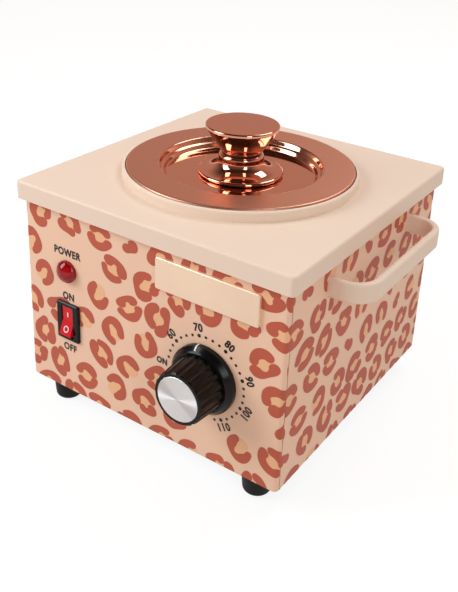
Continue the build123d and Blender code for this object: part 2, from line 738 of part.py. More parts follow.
# ---- lid
def lid():
    """Spun lid: flat rim with a turned-down edge, and a recess with a stepped shoulder."""
    step_z = recess_floor + LID_STEP_DEPTH
    step_outer = lid_recess_radius - LID_STEP_SLOPE
    step_inner = step_outer - LID_STEP_WIDTH
    points = [
        (M4_RADIUS + HOLE_CLEARANCE, recess_floor),
        (step_inner - LID_STEP_SLOPE, recess_floor),
        (step_inner, step_z),
        (step_outer, step_z),
        (lid_recess_radius, lid_top),
        (lid_radius, lid_top),
        (lid_radius, lid_top - LID_LIP),
    ]
    return spun_sheet(points, [LID_ROUNDING] * 5, LID_SHEET)


def lid_dish():
    """Foot of the lid's knob: a dished flange that sweeps up into a neck."""
    edge_low = recess_floor + DISH_EDGE_LIFT
    edge_high = edge_low + DISH_EDGE
    land_low = neck_top - NECK_LAND
    lower = Polyline(
        (0, neck_top), (0, recess_floor), (DISH_FOOT_RADIUS, recess_floor),
        (DISH_RADIUS - DISH_EDGE / 2, edge_low),
    )
    rim = ThreePointArc(
        (DISH_RADIUS - DISH_EDGE / 2, edge_low),
        (DISH_RADIUS, edge_low + DISH_EDGE / 2),
        (DISH_RADIUS - DISH_EDGE / 2, edge_high),
    )
    sweep_up = TangentArc(
        (NECK_RADIUS, land_low), (DISH_RADIUS - DISH_EDGE / 2, edge_high), tangent=(0, -1)
    )
    upper = Polyline((NECK_RADIUS, land_low), (NECK_RADIUS, neck_top), (0, neck_top))
    section = make_face(lower + rim + sweep_up + upper)
    dish = revolve(Plane.XZ * section, Axis.Z)
    dish = fillet(dish.edges().group_by(Axis.Z)[-1], KNOB_ROUNDING)
    return dish - plain_hole(M4_RADIUS, recess_floor, neck_top)


def lid_spacer():
    """Fibre washer in the groove between the neck and the knob."""
    return disc(GROOVE_RADIUS, neck_top, knob_bottom) - plain_hole(M4_RADIUS, neck_top, knob_bottom)


def lid_knob():
    """Inverted cone with a flat top."""
    knob = turned([
        (0, knob_bottom), (KNOB_BOTTOM_RADIUS, knob_bottom),
        (KNOB_TOP_RADIUS, knob_top - KNOB_RIM), (KNOB_TOP_RADIUS, knob_top), (0, knob_top),
    ])
    knob = fillet(knob.edges(), KNOB_ROUNDING)
    return knob - tapped_hole(M4_RADIUS, knob_bottom, knob_bottom + LID_SCREW_THREAD + HOLE_CLEARANCE)


def lid_screw():
    """Screw and washer from under the lid through the dish into the knob."""
    washer_top = recess_floor - LID_SHEET
    head_face = washer_top - WASHER_THICKNESS
    shank = m4_screw(knob_bottom + LID_SCREW_THREAD - head_face)
    return group([
        facing_down(0, 0, head_face) * shank,
        Pos(0, 0, head_face) * washer(M4_RADIUS, M4_HEAD_RADIUS),
    ])


# ---- heater round the well
def band_heater():
    """Mica band with a clamping gap at the back."""
    top = heater_bottom + HEATER_HEIGHT
    band = disc(heater_outer, heater_bottom, top) - disc(heater_inner, heater_bottom, top)
    band -= block(-HEATER_GAP / 2, HEATER_GAP / 2, 0, heater_outer, heater_bottom, top)
    lug_low = heater_bottom + (HEATER_HEIGHT - LUG_HEIGHT) / 2
    lug_start = heater_inner + HEATER_THICKNESS / 2
    for side in (-1, 1):
        near, far = sorted((side * HEATER_GAP / 2, side * (HEATER_GAP / 2 + LUG_THICKNESS)))
        lug = block(near, far, lug_start, heater_outer + LUG_REACH, lug_low, lug_low + LUG_HEIGHT)
        for place in lug_bolt_places():
            lug -= place * plain_hole(M4_RADIUS, -HEATER_GAP, HEATER_GAP)
        band += lug
    return band


def lug_bolt_places():
    """Planes in the middle of the clamping gap, Z across it."""
    middle = heater_bottom + HEATER_HEIGHT / 2
    y = heater_outer + LUG_REACH / 2
    return [
        Plane(origin=(0, y, middle + side * LUG_BOLT_SPREAD), x_dir=(0, 1, 0), z_dir=(1, 0, 0))
        for side in (-1, 1)
    ]


def heater_bolts():
    face = HEATER_GAP / 2 + LUG_THICKNESS
    one = Pos(0, 0, face) * m4_screw(2 * face + M4_NUT_HEIGHT + THREAD_CLEARANCE)
    return group(place * one for place in lug_bolt_places())


def heater_nuts():
    one = Pos(0, 0, -HEATER_GAP / 2 - LUG_THICKNESS - M4_NUT_HEIGHT)
    one = one * nut(M4_NUT_FLATS, M4_NUT_HEIGHT, M4_RADIUS)
    return group(place * one for place in lug_bolt_places())


def heater_posts():
    """Ceramic terminal posts on the band, in the opening of the insulation."""
    z = heater_bottom + POST_HEIGHT
    posts = []
    for side in (-1, 1):
        axis = Plane(origin=(side * POST_SPREAD, 0, z), x_dir=(1, 0, 0), z_dir=(0, 1, 0))
        post = axis * disc(POST_RADIUS, 0, heater_outer + POST_LENGTH)
        posts.append(post - disc(heater_outer, z - POST_RADIUS, z + POST_RADIUS))
    return group(posts)


def insulation_wrap():
    """Glass-fibre blanket, open at the back for the heater's terminals."""
    low = well_bottom + INSULATION_BOTTOM_GAP
    high = wall_top - INSULATION_TOP_GAP
    outer = insulation_inner + INSULATION_THICKNESS
    wrap = disc(outer, low, high) - disc(insulation_inner, low, high)
    half = INSULATION_OPENING / 2
    return wrap - block(-half, half, 0, outer, low, high)


def thermal_cutoff():
    """Disc cut-out under the well, with its two tabs."""
    low = well_bottom - CUTOFF_HEIGHT
    body = disc(CUTOFF_RADIUS, low, well_bottom)
    for side in (-1, 1):
        body += blade(BLADE_WIDTH, low - BLADE_LENGTH, low, 0, side * CUTOFF_RADIUS / 2)
    return Pos(CUTOFF_X, CUTOFF_Y, 0) * body


def sensor_bulb():
    """Thermostat's bulb, lying under the well."""
    start = Plane(origin=(BULB_END_X, BULB_Y, bulb_z), x_dir=(0, 1, 0), z_dir=(-1, 0, 0))
    return start * disc(BULB_RADIUS, 0, BULB_LENGTH)


def sensor_clips():
    """Saddle clips that hold the bulb against the well."""
    inner = BULB_RADIUS + THREAD_CLEARANCE
    outer = inner + CLIP_SHEET
    half = CLIP_WIDTH / 2
    saddle = Cylinder(outer, CLIP_WIDTH) - Cylinder(inner, CLIP_WIDTH)
    saddle = Rot(0, 90, 0) * saddle & block(-half, half, -outer, outer, -outer, 0)
    top = well_bottom - bulb_z
    for side in (-1, 1):
        near, far = sorted((side * inner, side * outer))
        saddle += block(-half, half, near, far, 0, top)
        near, far = sorted((side * inner, side * (outer + CLIP_TAB)))
        saddle += block(-half, half, near, far, top - CLIP_SHEET, top)
    middle = BULB_END_X - BULB_LENGTH / 2
    return group(
        Pos(middle + side * CLIP_SPREAD, BULB_Y, bulb_z) * saddle for side in (-1, 1)
    )


def capillary_tube():
    """Copper capillary from the thermostat down, back and up to the bulb."""
    start_y = -half_depth + yoke_back + THERMOSTAT_DEPTH / 2
    x = dial_x + CAPILLARY_OFFSET
    points = [
        (x, start_y, dial_z - THERMOSTAT_WIDTH / 2),
        (x, start_y, capillary_z),
        (x, BULB_Y, capillary_z),
        (x, BULB_Y, bulb_z),
        (BULB_END_X, BULB_Y, bulb_z),
    ]
    return tube(points, CAPILLARY_RADIUS, CAPILLARY_BEND)


def tube(points, radius, bend):
    """Round tube along straight runs, each bend at most as wide as the runs beside it allow."""
    runs = [(Vector(*end) - Vector(*start)).length for start, end in zip(points, points[1:])]
    bends = [min(bend, BEND_SHARE * min(pair)) for pair in zip(runs, runs[1:])]
    path = FilletPolyline(*points, radius=bends)
    run = Vector(*points[1]) - Vector(*points[0])
    section = Plane(origin=points[0], z_dir=run) * Circle(radius)
    return sweep(section, path=path)


# ---- thermostat and dial
def thermostat_plate():
    """Steel yoke behind the panel, tapped for the two front screws."""
    width, height, thickness = YOKE_SIZE
    plate = slab(width, height, BEZEL_CORNER, -yoke_back, -SHEET)
    plate -= disc(BUSHING_RADIUS + HOLE_CLEARANCE, -yoke_back, -SHEET)
    for side in (-1, 1):
        plate -= tapped_hole(M4_RADIUS, -yoke_back, -SHEET, side * YOKE_SCREW_SPREAD)
    return on_front(dial_x, dial_z) * plate


def thermostat_body():
    """Capillary thermostat: a square case with a bushing through the panel."""
    case = slab(THERMOSTAT_WIDTH, THERMOSTAT_WIDTH, BEZEL_CORNER, -thermostat_back, -yoke_back)
    for side in (-1, 1):
        case -= plain_hole(
            M4_RADIUS, -yoke_back - YOKE_SCREW_LENGTH, -yoke_back, side * YOKE_SCREW_SPREAD
        )
    case += disc(BUSHING_RADIUS, -yoke_back, BUSHING_PROUD)
    case -= disc(SHAFT_RADIUS + SHAFT_CLEARANCE, -BUSHING_BORE_DEPTH, BUSHING_PROUD)
    return on_front(dial_x, dial_z) * case


def thermostat_screws():
    one = m4_screw(YOKE_SCREW_LENGTH)
    place = on_front(dial_x, dial_z)
    return group(place * Pos(side * YOKE_SCREW_SPREAD, 0, 0) * one for side in (-1, 1))


def thermostat_blades():
    low = -thermostat_back - BLADE_LENGTH
    place = on_front(dial_x, dial_z)
    return group(
        place * blade(BLADE_WIDTH, low, -thermostat_back, 0, side * BLADE_WIDTH)
        for side in (-1, 1)
    )


def thermostat_shaft():
    """Shaft with one flat, from inside the thermostat to inside the knob."""
    tip = KNOB_GAP + HUB_SETBACK + BORE_DEPTH - SEAT_GAP
    rod = d_rod(SHAFT_RADIUS, SHAFT_FLAT, BUSHING_PROUD, tip)
    rod += disc(SHAFT_RADIUS, SEAT_GAP - BUSHING_BORE_DEPTH, BUSHING_PROUD)
    return on_front(dial_x, dial_z) * rod


def control_knob():
    """Black knob: a skirt, a fluted tapering grip and a recess for the metal disc."""
    skirt_top = KNOB_GAP + SKIRT_THICKNESS
    knob = turned([
        (0, KNOB_GAP),
        (SKIRT_RADIUS, KNOB_GAP),
        (SKIRT_RADIUS, KNOB_GAP + SKIRT_RIM),
        (SKIRT_FACE_RADIUS, skirt_top - GRIP_EDGE),
        (SKIRT_FACE_RADIUS - GRIP_EDGE, skirt_top),
        (GRIP_RADIUS, skirt_top),
        (GRIP_TIP_RADIUS, KNOB_LENGTH - GRIP_EDGE),
        (GRIP_TIP_RADIUS - GRIP_EDGE, KNOB_LENGTH),
        (0, KNOB_LENGTH),
    ])
    grip_length = KNOB_LENGTH - skirt_top
    lean = math.degrees(math.atan2(GRIP_RADIUS - GRIP_TIP_RADIUS, grip_length))
    flute = Pos(GRIP_RADIUS + FLUTE_RADIUS - FLUTE_DEPTH, 0, skirt_top) * Rot(0, -lean, 0)
    flute = flute * Cylinder(FLUTE_RADIUS, 2 * grip_length, align=UP)
    flute &= disc(SKIRT_RADIUS * 2, skirt_top, 2 * KNOB_LENGTH)
    for k in range(FLUTES):
        knob -= Rot(0, 0, 360 * (k + 0.5) / FLUTES) * flute
    hollow_top = KNOB_GAP + HOLLOW_DEPTH
    hub_low = KNOB_GAP + HUB_SETBACK
    knob -= disc(HOLLOW_RADIUS, KNOB_GAP, hollow_top) - disc(HUB_RADIUS, KNOB_GAP, hollow_top)
    knob -= disc(HUB_RADIUS, KNOB_GAP, hub_low)
    fit = SHAFT_CLEARANCE
    knob -= d_rod(SHAFT_RADIUS + fit, SHAFT_FLAT + fit, hub_low, hub_low + BORE_DEPTH)
    seat = KNOB_LENGTH + INLAY_PROUD - INLAY_THICKNESS
    knob -= disc(INLAY_RADIUS + INLAY_CLEARANCE, seat, KNOB_LENGTH)
    return on_front(dial_x, dial_z) * knob


def knob_disc():
    """Turned metal disc let into the front of the knob."""
    top = KNOB_LENGTH + INLAY_PROUD
    inlay = disc(INLAY_RADIUS, top - INLAY_THICKNESS, top)
    inlay = chamfer(inlay.edges().group_by(Axis.Z)[-1], INLAY_PROUD)
    return on_front(dial_x, dial_z) * inlay


# ---- rocker switch
def switch_housing():
    """Bezel and body in one moulding, open at the front for the rocker."""
    bezel = slab(BEZEL_WIDTH, BEZEL_HEIGHT, BEZEL_CORNER, 0, BEZEL_THICKNESS)
    bezel = chamfer(bezel.edges().group_by(Axis.Z)[-1], BEZEL_EDGE)
    body = slab(SWITCH_BODY_WIDTH, SWITCH_BODY_HEIGHT, PANEL_FIT, -SWITCH_BODY_DEPTH, 0)
    housing = bezel + body
    half_w = ROCKER_WIDTH / 2 + ROCKER_GAP
    tilt = math.radians(ROCKER_TILT)
    swing = ROCKER_HALF_HEIGHT * math.cos(tilt) + ROCKER_TIP * math.sin(tilt)
    drop = ROCKER_BACK * math.cos(tilt) + ROCKER_BACK_HALF * math.sin(tilt)
    half_h = swing + ROCKER_GAP
    floor = -PIVOT_DEPTH - drop - ROCKER_GAP
    housing -= block(-half_w, half_w, -half_h, half_h, floor, BEZEL_THICKNESS)
    pivot = Plane(origin=(0, 0, -PIVOT_DEPTH), x_dir=(0, 1, 0), z_dir=(1, 0, 0))
    reach = ROCKER_WIDTH / 2 + TRUNNION_REACH + ROCKER_GAP
    housing -= pivot * disc(TRUNNION_RADIUS + TRUNNION_CLEARANCE, -reach, reach)
    return on_front(column_x, switch_z) * housing


def switch_rocker():
    """Rocker on two trunnions, at rest with its upper end pressed in."""
    outline = Polygon(
        (ROCKER_HALF_HEIGHT, ROCKER_TIP),
        (0, ROCKER_VALLEY),
        (-ROCKER_HALF_HEIGHT, ROCKER_TIP),
        (-ROCKER_BACK_HALF, -ROCKER_BACK),
        (ROCKER_BACK_HALF, -ROCKER_BACK),
        align=None,
    )
    rocker = extrude(Plane.YZ * outline, ROCKER_WIDTH / 2, both=True)
    rocker = fillet(rocker.edges().filter_by(Axis.X).group_by(Axis.Z)[-1], ROCKER_EDGE)
    across = Plane(origin=(0, 0, 0), x_dir=(0, 1, 0), z_dir=(1, 0, 0))
    reach = ROCKER_WIDTH / 2 + TRUNNION_REACH
    rocker += across * disc(TRUNNION_RADIUS, -reach, reach)
    return on_front(column_x, switch_z) * Pos(0, 0, -PIVOT_DEPTH) * Rot(-ROCKER_TILT, 0, 0) * rocker


def switch_blades():
    place = on_front(column_x, switch_z)
    low = -SWITCH_BODY_DEPTH - BLADE_LENGTH
    return group(
        place * blade(SWITCH_BLADE_WIDTH, low, -SWITCH_BODY_DEPTH, 0, k * SWITCH_BLADE_PITCH)
        for k in (-1, 0, 1)
    )


# ---- pilot lamp
def dome_arc(radius, rim, rise):
    """Round arc, centred on the axis, from the rim of a dome to its top."""
    cap = rise - rim
    sphere = (radius**2 + cap**2) / (2 * cap)
    middle = math.asin(radius / sphere) / 2
    return ThreePointArc(
        (radius, rim),
        (sphere * math.sin(middle), rise - sphere + sphere * math.cos(middle)),
        (0, rise),
    )


def pilot_lens():
    """Hollow domed lens that seats on the panel."""
    inner = LENS_RADIUS - LENS_WALL
    ceiling = LENS_RISE - LENS_WALL
    foot_line = Polyline((inner, LENS_RIM), (inner, 0), (LENS_RADIUS, 0), (LENS_RADIUS, LENS_RIM))
    outside = dome_arc(LENS_RADIUS, LENS_RIM, LENS_RISE)
    axis = Line((0, LENS_RISE), (0, ceiling))
    inside = dome_arc(inner, LENS_RIM, ceiling)
    section = make_face(foot_line + outside + axis + inside)
    return on_front(column_x, pilot_z) * revolve(Plane.XZ * section, Axis.Z)


def pilot_barrel():
    """Threaded barrel behind the lens, bored for the lamp."""
    barrel = disc(BARREL_RADIUS, -BARREL_LENGTH, 0)
    barrel -= disc(LAMP_RADIUS + LAMP_CLEARANCE, -BARREL_LENGTH / 2, 0)
    return on_front(column_x, pilot_z) * barrel


def pilot_lamp():
    """Small glass lamp that stands in the barrel, under the lens."""
    tip = LENS_RISE - LENS_WALL - LAMP_TIP_GAP
    lamp = disc(LAMP_RADIUS, -BARREL_LENGTH / 2, tip)
    lamp = fillet(lamp.edges().group_by(Axis.Z)[-1], LAMP_RADIUS - LAMP_CLEARANCE)
    return on_front(column_x, pilot_z) * lamp


def pilot_nut():
    one = nut(PILOT_NUT_FLATS, PILOT_NUT_HEIGHT, BARREL_RADIUS)
    return on_front(column_x, pilot_z) * Pos(0, 0, -SHEET - PILOT_NUT_HEIGHT) * one


def pilot_blades():
    place = on_front(column_x, pilot_z)
    low = -BARREL_LENGTH - BLADE_LENGTH
    return group(
        place * blade(BLADE_WIDTH / 2, low, -BARREL_LENGTH, side * PILOT_BLADE_SPREAD)
        for side in (-1, 1)
    )


def nameplate():
    """Plain metal plate, with nothing on it."""
    width, height, thickness = NAMEPLATE_SIZE
    plate = slab(width, height, NAMEPLATE_CORNER, 0, thickness)
    plate = chamfer(plate.edges().group_by(Axis.Z)[-1], NAMEPLATE_EDGE)
    return on_front(nameplate_x, nameplate_z) * plate


# ---- mains inlet
pin_places = [(-PIN_PITCH, -PIN_OFFSET), (PIN_PITCH, -PIN_OFFSET), (0, PIN_OFFSET)]


def pin_bar(x, y, z0, z1):
    half_t = PIN_THICKNESS / 2
    half_w = PIN_WIDTH / 2
    return block(x - half_t, x + half_t, y - half_w, y + half_w, z0, z1)


def inlet_socket():
    """Appliance inlet: flange outside the wall, body inside, recess with two cut corners."""
    width, height, thickness = INLET_FLANGE
    socket = slab(width, height, CORNER_RADIUS, 0, thickness)
    socket = chamfer(socket.edges().group_by(Axis.Z)[-1], NAMEPLATE_EDGE)
    socket += slab(*INLET_BODY, INLET_CORNER, -INLET_DEPTH, 0)
    for side in (-1, 1):
        socket -= plain_hole(M3_RADIUS, 0, thickness, side * INLET_SCREW_SPREAD)
    recess_width, recess_height = INLET_RECESS
    floor = INLET_RECESS_FLOOR - INLET_DEPTH
    recess = extrude(Rectangle(recess_width, recess_height), thickness - floor)
    upper = recess.edges().filter_by(Axis.Z).group_by(Axis.Y)[-1]
    recess = chamfer(upper, INLET_CHAMFER)
    socket -= Pos(0, 0, floor) * recess
    for x, y in pin_places:
        socket -= pin_bar(x, y, -INLET_DEPTH, floor)
    return on_back(inlet_x, inlet_z) * socket


def inlet_pins():
    tip = INLET_FLANGE[2] - PIN_SETBACK
    place = on_back(inlet_x, inlet_z)
    return group(
        place * pin_bar(x, y, -INLET_DEPTH - BLADE_LENGTH, tip) for x, y in pin_places
    )


def inlet_screws():
    place = on_back(inlet_x, inlet_z)
    one = Pos(0, 0, INLET_FLANGE[2]) * m3_screw(INLET_SCREW_LENGTH)
    return group(place * Pos(side * INLET_SCREW_SPREAD, 0, 0) * one for side in (-1, 1))


def inlet_nuts():
    place = on_back(inlet_x, inlet_z)
    one = Pos(0, 0, -SHEET - M3_NUT_HEIGHT) * nut(M3_NUT_FLATS, M3_NUT_HEIGHT, M3_RADIUS)
    return group(place * Pos(side * INLET_SCREW_SPREAD, 0, 0) * one for side in (-1, 1))


# ---- wiring
def terminal_block():
    """Connector strip on the base plate, bored for its clamping screws."""
    width, depth, height = BLOCK_SIZE
    strip = slab(width, depth, BEZEL_CORNER, 0, height)
    for x in block_way_x:
        strip -= tapped_hole(M3_RADIUS, height - BLOCK_SCREW_DEPTH, height, x)
    return Pos(0, block_y, wall_bottom) * strip


def block_screws():
    one = m3_screw(BLOCK_SCREW_DEPTH - HOLE_CLEARANCE)
    z = wall_bottom + BLOCK_SIZE[2]
    return group(Pos(x, block_y, z) * one for x in block_way_x)


def earth_stud():
    """Stud on the base plate with the wire's lug under its nut."""
    stud = disc(M4_RADIUS, wall_bottom, wall_bottom + EARTH_STUD_LENGTH)
    lug_top = wall_bottom + LUG_SHEET
    half = M4_NUT_FLATS / 2
    lug = block(-half, LUG_TAB, -half, half, wall_bottom, lug_top)
    lug -= plain_hole(M4_RADIUS, wall_bottom, lug_top)
    clamp = Pos(0, 0, lug_top) * nut(M4_NUT_FLATS, M4_NUT_HEIGHT, M4_RADIUS)
    return group(Pos(earth_x, EARTH_Y, 0) * one for one in (stud, lug, clamp))


def wiring():
    """Insulated wires between the terminals, each end square on its tab."""
    left_x, live_x, neutral_x = block_way_x[:3]
    low, middle, high = (wall_bottom + height for height in (WIRE_LOW, WIRE_MIDDLE, WIRE_HIGH))
    block_front = block_y - BLOCK_SIZE[1] / 2
    block_back = block_y + BLOCK_SIZE[1] / 2
    pin_end = half_depth - INLET_DEPTH - BLADE_LENGTH
    switch_end = SWITCH_BODY_DEPTH + BLADE_LENGTH - half_depth
    pilot_end = BARREL_LENGTH + BLADE_LENGTH - half_depth
    dial_end = thermostat_back + BLADE_LENGTH - half_depth
    post_end = heater_outer + POST_LENGTH
    post_z = heater_bottom + POST_HEIGHT
    cutoff_end = well_bottom - CUTOFF_HEIGHT - BLADE_LENGTH
    cutoff_y = CUTOFF_RADIUS / 2
    lane = [switch_end + LANE_START + k * LANE_PITCH for k in range(4)]
    back_lane = [pin_end - LANE_START - k * LANE_PITCH for k in range(2)]
    post_lane = post_end + LANE_START
    wall_x = half_width - LANE_WALL
    live_pin_x, neutral_pin_x = inlet_x + PIN_PITCH, inlet_x - PIN_PITCH
    pin_z, earth_pin_z = inlet_z - PIN_OFFSET, inlet_z + PIN_OFFSET
    upper_z, lower_z = switch_z + SWITCH_BLADE_PITCH, switch_z - SWITCH_BLADE_PITCH
    dial_low_z, dial_high_z = dial_z - BLADE_WIDTH, dial_z + BLADE_WIDTH
    lamp_left_x, lamp_right_x = column_x - PILOT_BLADE_SPREAD, column_x + PILOT_BLADE_SPREAD
    far_x, near_x, inner_x = column_x - 2 * LANE_SIDE, column_x - LANE_SIDE, column_x + LANE_SIDE
    earth_lug_x = earth_x + LUG_TAB - 2 * WIRE_RADIUS
    routes = [
        # inlet to the back of the block
        [(live_pin_x, pin_end, pin_z), (live_pin_x, back_lane[0], pin_z),
         (live_pin_x, back_lane[0], low), (left_x, back_lane[0], low), (left_x, block_back, low)],
        [(neutral_pin_x, pin_end, pin_z), (neutral_pin_x, back_lane[1], pin_z),
         (neutral_pin_x, back_lane[1], middle), (live_x, back_lane[1], middle),
         (live_x, block_back, middle)],
        # inlet to the earth lug
        [(inlet_x, pin_end, earth_pin_z), (inlet_x, EARTH_Y, earth_pin_z),
         (earth_lug_x, EARTH_Y, earth_pin_z), (earth_lug_x, EARTH_Y, wall_bottom + LUG_SHEET)],
        # block to the switch
        [(column_x, switch_end, upper_z), (column_x, lane[2], upper_z), (column_x, lane[2], low),
         (left_x, lane[2], low), (left_x, block_front, low)],
        # switch to the thermostat
        [(column_x, switch_end, switch_z), (column_x, lane[0], switch_z),
         (inner_x, lane[0], switch_z), (inner_x, lane[0], high), (dial_x, lane[0], high),
         (dial_x, lane[0], dial_low_z), (dial_x, dial_end, dial_low_z)],
        # switch to the pilot lamp
        [(lamp_left_x, pilot_end, pilot_z), (lamp_left_x, lane[1], pilot_z),
         (far_x, lane[1], pilot_z), (far_x, lane[1], lower_z), (column_x, lane[1], lower_z),
         (column_x, switch_end, lower_z)],
        # pilot lamp to the block
        [(lamp_right_x, pilot_end, pilot_z), (lamp_right_x, lane[3], pilot_z),
         (near_x, lane[3], pilot_z), (near_x, lane[3], middle), (neutral_x, lane[3], middle),
         (neutral_x, block_front, middle)],
        # thermostat to the heater, along the right wall
        [(dial_x, dial_end, dial_high_z), (dial_x, lane[0], dial_high_z),
         (wall_x, lane[0], dial_high_z), (wall_x, lane[0], middle), (wall_x, post_lane, middle),
         (POST_SPREAD, post_lane, middle), (POST_SPREAD, post_lane, post_z),
         (POST_SPREAD, post_end, post_z)],
        # heater to the cut-out, and the cut-out to the block
        [(-POST_SPREAD, post_end, post_z), (-POST_SPREAD, post_lane, post_z),
         (-POST_SPREAD, post_lane, high), (-POST_SPREAD, CUTOFF_Y + cutoff_y, high),
         (CUTOFF_X, CUTOFF_Y + cutoff_y, high), (CUTOFF_X, CUTOFF_Y + cutoff_y, cutoff_end)],
        [(CUTOFF_X, CUTOFF_Y - cutoff_y, cutoff_end), (CUTOFF_X, CUTOFF_Y - cutoff_y, middle),
         (live_x, CUTOFF_Y - cutoff_y, middle), (live_x, block_front, middle)],
    ]
    return group(tube(route, WIRE_RADIUS, WIRE_BEND) for route in routes)


pieces = {
    "front_panel": front_panel(),
    "wrap_casing": wrap_casing(),
    "base_plate": base_plate(),
    "top_cover": top_cover(),
    "cover_studs": cover_studs(),
    "cover_nuts": cover_nuts(),
    "base_screws": base_screws(),
    "foot_screws": foot_screws(),
    "foot_washers": foot_washers(),
    "foot_nuts": foot_nuts(),
    "handle_left": handle(-1),
    "handle_right": handle(1),
    "handle_screws": handle_screws(),
    "handle_washers": handle_washers(),
    "collar_ring": collar_ring(),
    "collar_screws": collar_screws(),
    "heating_well": heating_well(),
    "wax_pot": wax_pot(),
    "lid": lid(),
    "lid_dish": lid_dish(),
    "lid_spacer": lid_spacer(),
    "lid_knob": lid_knob(),
    "lid_screw": lid_screw(),
    "band_heater": band_heater(),
    "heater_bolts": heater_bolts(),
    "heater_nuts": heater_nuts(),
    "heater_posts": heater_posts(),
    "insulation_wrap": insulation_wrap(),
    "thermal_cutoff": thermal_cutoff(),
    "sensor_bulb": sensor_bulb(),
    "sensor_clips": sensor_clips(),
    "capillary_tube": capillary_tube(),
    "thermostat_plate": thermostat_plate(),
    "thermostat_body": thermostat_body(),
    "thermostat_screws": thermostat_screws(),
    "thermostat_blades": thermostat_blades(),
    "thermostat_shaft": thermostat_shaft(),
    "control_knob": control_knob(),
    "knob_disc": knob_disc(),
    "switch_housing": switch_housing(),
    "switch_rocker": switch_rocker(),
    "switch_blades": switch_blades(),
    "pilot_lens": pilot_lens(),
    "pilot_barrel": pilot_barrel(),
    "pilot_lamp": pilot_lamp(),
    "pilot_nut": pilot_nut(),
    "pilot_blades": pilot_blades(),
    "nameplate": nameplate(),
    "inlet_socket": inlet_socket(),
    "inlet_pins": inlet_pins(),
    "inlet_screws": inlet_screws(),
    "inlet_nuts": inlet_nuts(),
    "terminal_block": terminal_block(),
    "block_screws": block_screws(),
    "earth_stud": earth_stud(),
    "wiring": wiring(),
}
foot_names = ("front_left", "back_left", "front_right", "back_right")
for foot_name, (x, y) in zip(foot_names, foot_places):
    pieces["foot_" + foot_name] = foot(x, y)

for name, piece in pieces.items():
    export_step(to_frame * piece, f"parts/{name}.step")
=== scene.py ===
import json
import math
import random

import bmesh
import bpy
from bpy.props import FloatProperty, FloatVectorProperty, IntProperty, PointerProperty
from mathutils import Matrix, Vector
from mathutils.bvhtree import BVHTree

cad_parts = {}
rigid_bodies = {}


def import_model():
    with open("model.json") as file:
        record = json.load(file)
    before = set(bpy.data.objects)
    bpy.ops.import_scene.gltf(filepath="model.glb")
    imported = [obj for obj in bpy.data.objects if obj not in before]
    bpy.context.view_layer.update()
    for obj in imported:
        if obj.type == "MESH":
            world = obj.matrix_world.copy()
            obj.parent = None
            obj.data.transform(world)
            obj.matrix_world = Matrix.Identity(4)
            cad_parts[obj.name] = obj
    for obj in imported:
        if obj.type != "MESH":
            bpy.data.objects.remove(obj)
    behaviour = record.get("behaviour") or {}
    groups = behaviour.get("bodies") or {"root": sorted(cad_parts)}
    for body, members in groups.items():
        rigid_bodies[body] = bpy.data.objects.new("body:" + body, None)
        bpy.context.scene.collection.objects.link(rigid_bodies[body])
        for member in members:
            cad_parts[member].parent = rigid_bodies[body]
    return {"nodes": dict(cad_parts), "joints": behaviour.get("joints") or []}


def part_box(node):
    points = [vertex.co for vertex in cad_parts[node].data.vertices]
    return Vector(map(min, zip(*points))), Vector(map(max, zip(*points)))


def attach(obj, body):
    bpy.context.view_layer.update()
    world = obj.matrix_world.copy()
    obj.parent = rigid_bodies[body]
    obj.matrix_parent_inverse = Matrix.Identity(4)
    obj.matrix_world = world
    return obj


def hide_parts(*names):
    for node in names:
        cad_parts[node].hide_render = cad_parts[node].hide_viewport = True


# Looks of a square bench heater for candle wax: a casing with a spotted print, a cream cover and
# handles, a copper lid, a thermostat dial, a rocker switch and a pilot lamp.
# Lengths are in metres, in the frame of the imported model: +X right, +Y back, +Z up.

bl_info = {
    "name": "Candle wax melter",
    "version": (1, 0, 0),
    "blender": (4, 5, 0),
    "location": "View3D > Sidebar > Wax melter",
    "description": "Dresses the packed model of a bench heater for candle wax",
    "category": "Add Mesh",
}

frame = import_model()

MM = 0.001
SMOOTH_ANGLE = math.radians(35)
LATHE_STEPS = 192
SEAM_GAP = 0.2 * MM
SCREW_HOLE = 2.2 * MM          # radius of the screw's hole in the lid and in the foot of its knob

# openings that the print leaves out: radius, or width and height
PILOT_OPENING = 8.0 * MM
SWITCH_OPENING = (19.8 * MM, 29.4 * MM)
INLET_OPENING = (27.0 * MM, 19.8 * MM)
VENT_OPENING = (3.2 * MM, 21.4 * MM)
VENTS = 11
VENT_PITCH = 9.0 * MM
VENT_DROP = 38.8 * MM          # top of the casing to the middle of the vents


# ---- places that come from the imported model
def middle(node):
    low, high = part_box(node)
    return (low + high) / 2


def joint_place(name):
    return Vector(next(joint["pos_m"] for joint in frame["joints"] if joint["name"] == name))


WALL_LOW, WALL_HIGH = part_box("front_panel")
CASING_LOW, CASING_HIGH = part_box("wrap_casing")
FRONT_Y = WALL_LOW.y
SEAM_Y = CASING_LOW.y
BACK_Y = CASING_HIGH.y
HALF_WIDTH = CASING_HIGH.x
DIAL = joint_place("dial_turn")
SWITCH = middle("switch_housing")
PILOT = middle("pilot_lens")
INLET = middle("inlet_socket")
POT = middle("wax_pot")


def screen(red, green, blue):
    """Linear colour from the 0 to 255 values of a screen."""
    def one(value):
        share = value / 255
        return share / 12.92 if share <= 0.04045 else ((share + 0.055) / 1.055) ** 2.4
    return (one(red), one(green), one(blue))


def length(name, description, default):
    return FloatProperty(
        name=name, description=description, default=default, min=0.0, unit="LENGTH", precision=4
    )


def colour(name, description, default):
    return FloatVectorProperty(
        name=name, description=description, default=default, min=0.0, max=1.0, subtype="COLOR"
    )


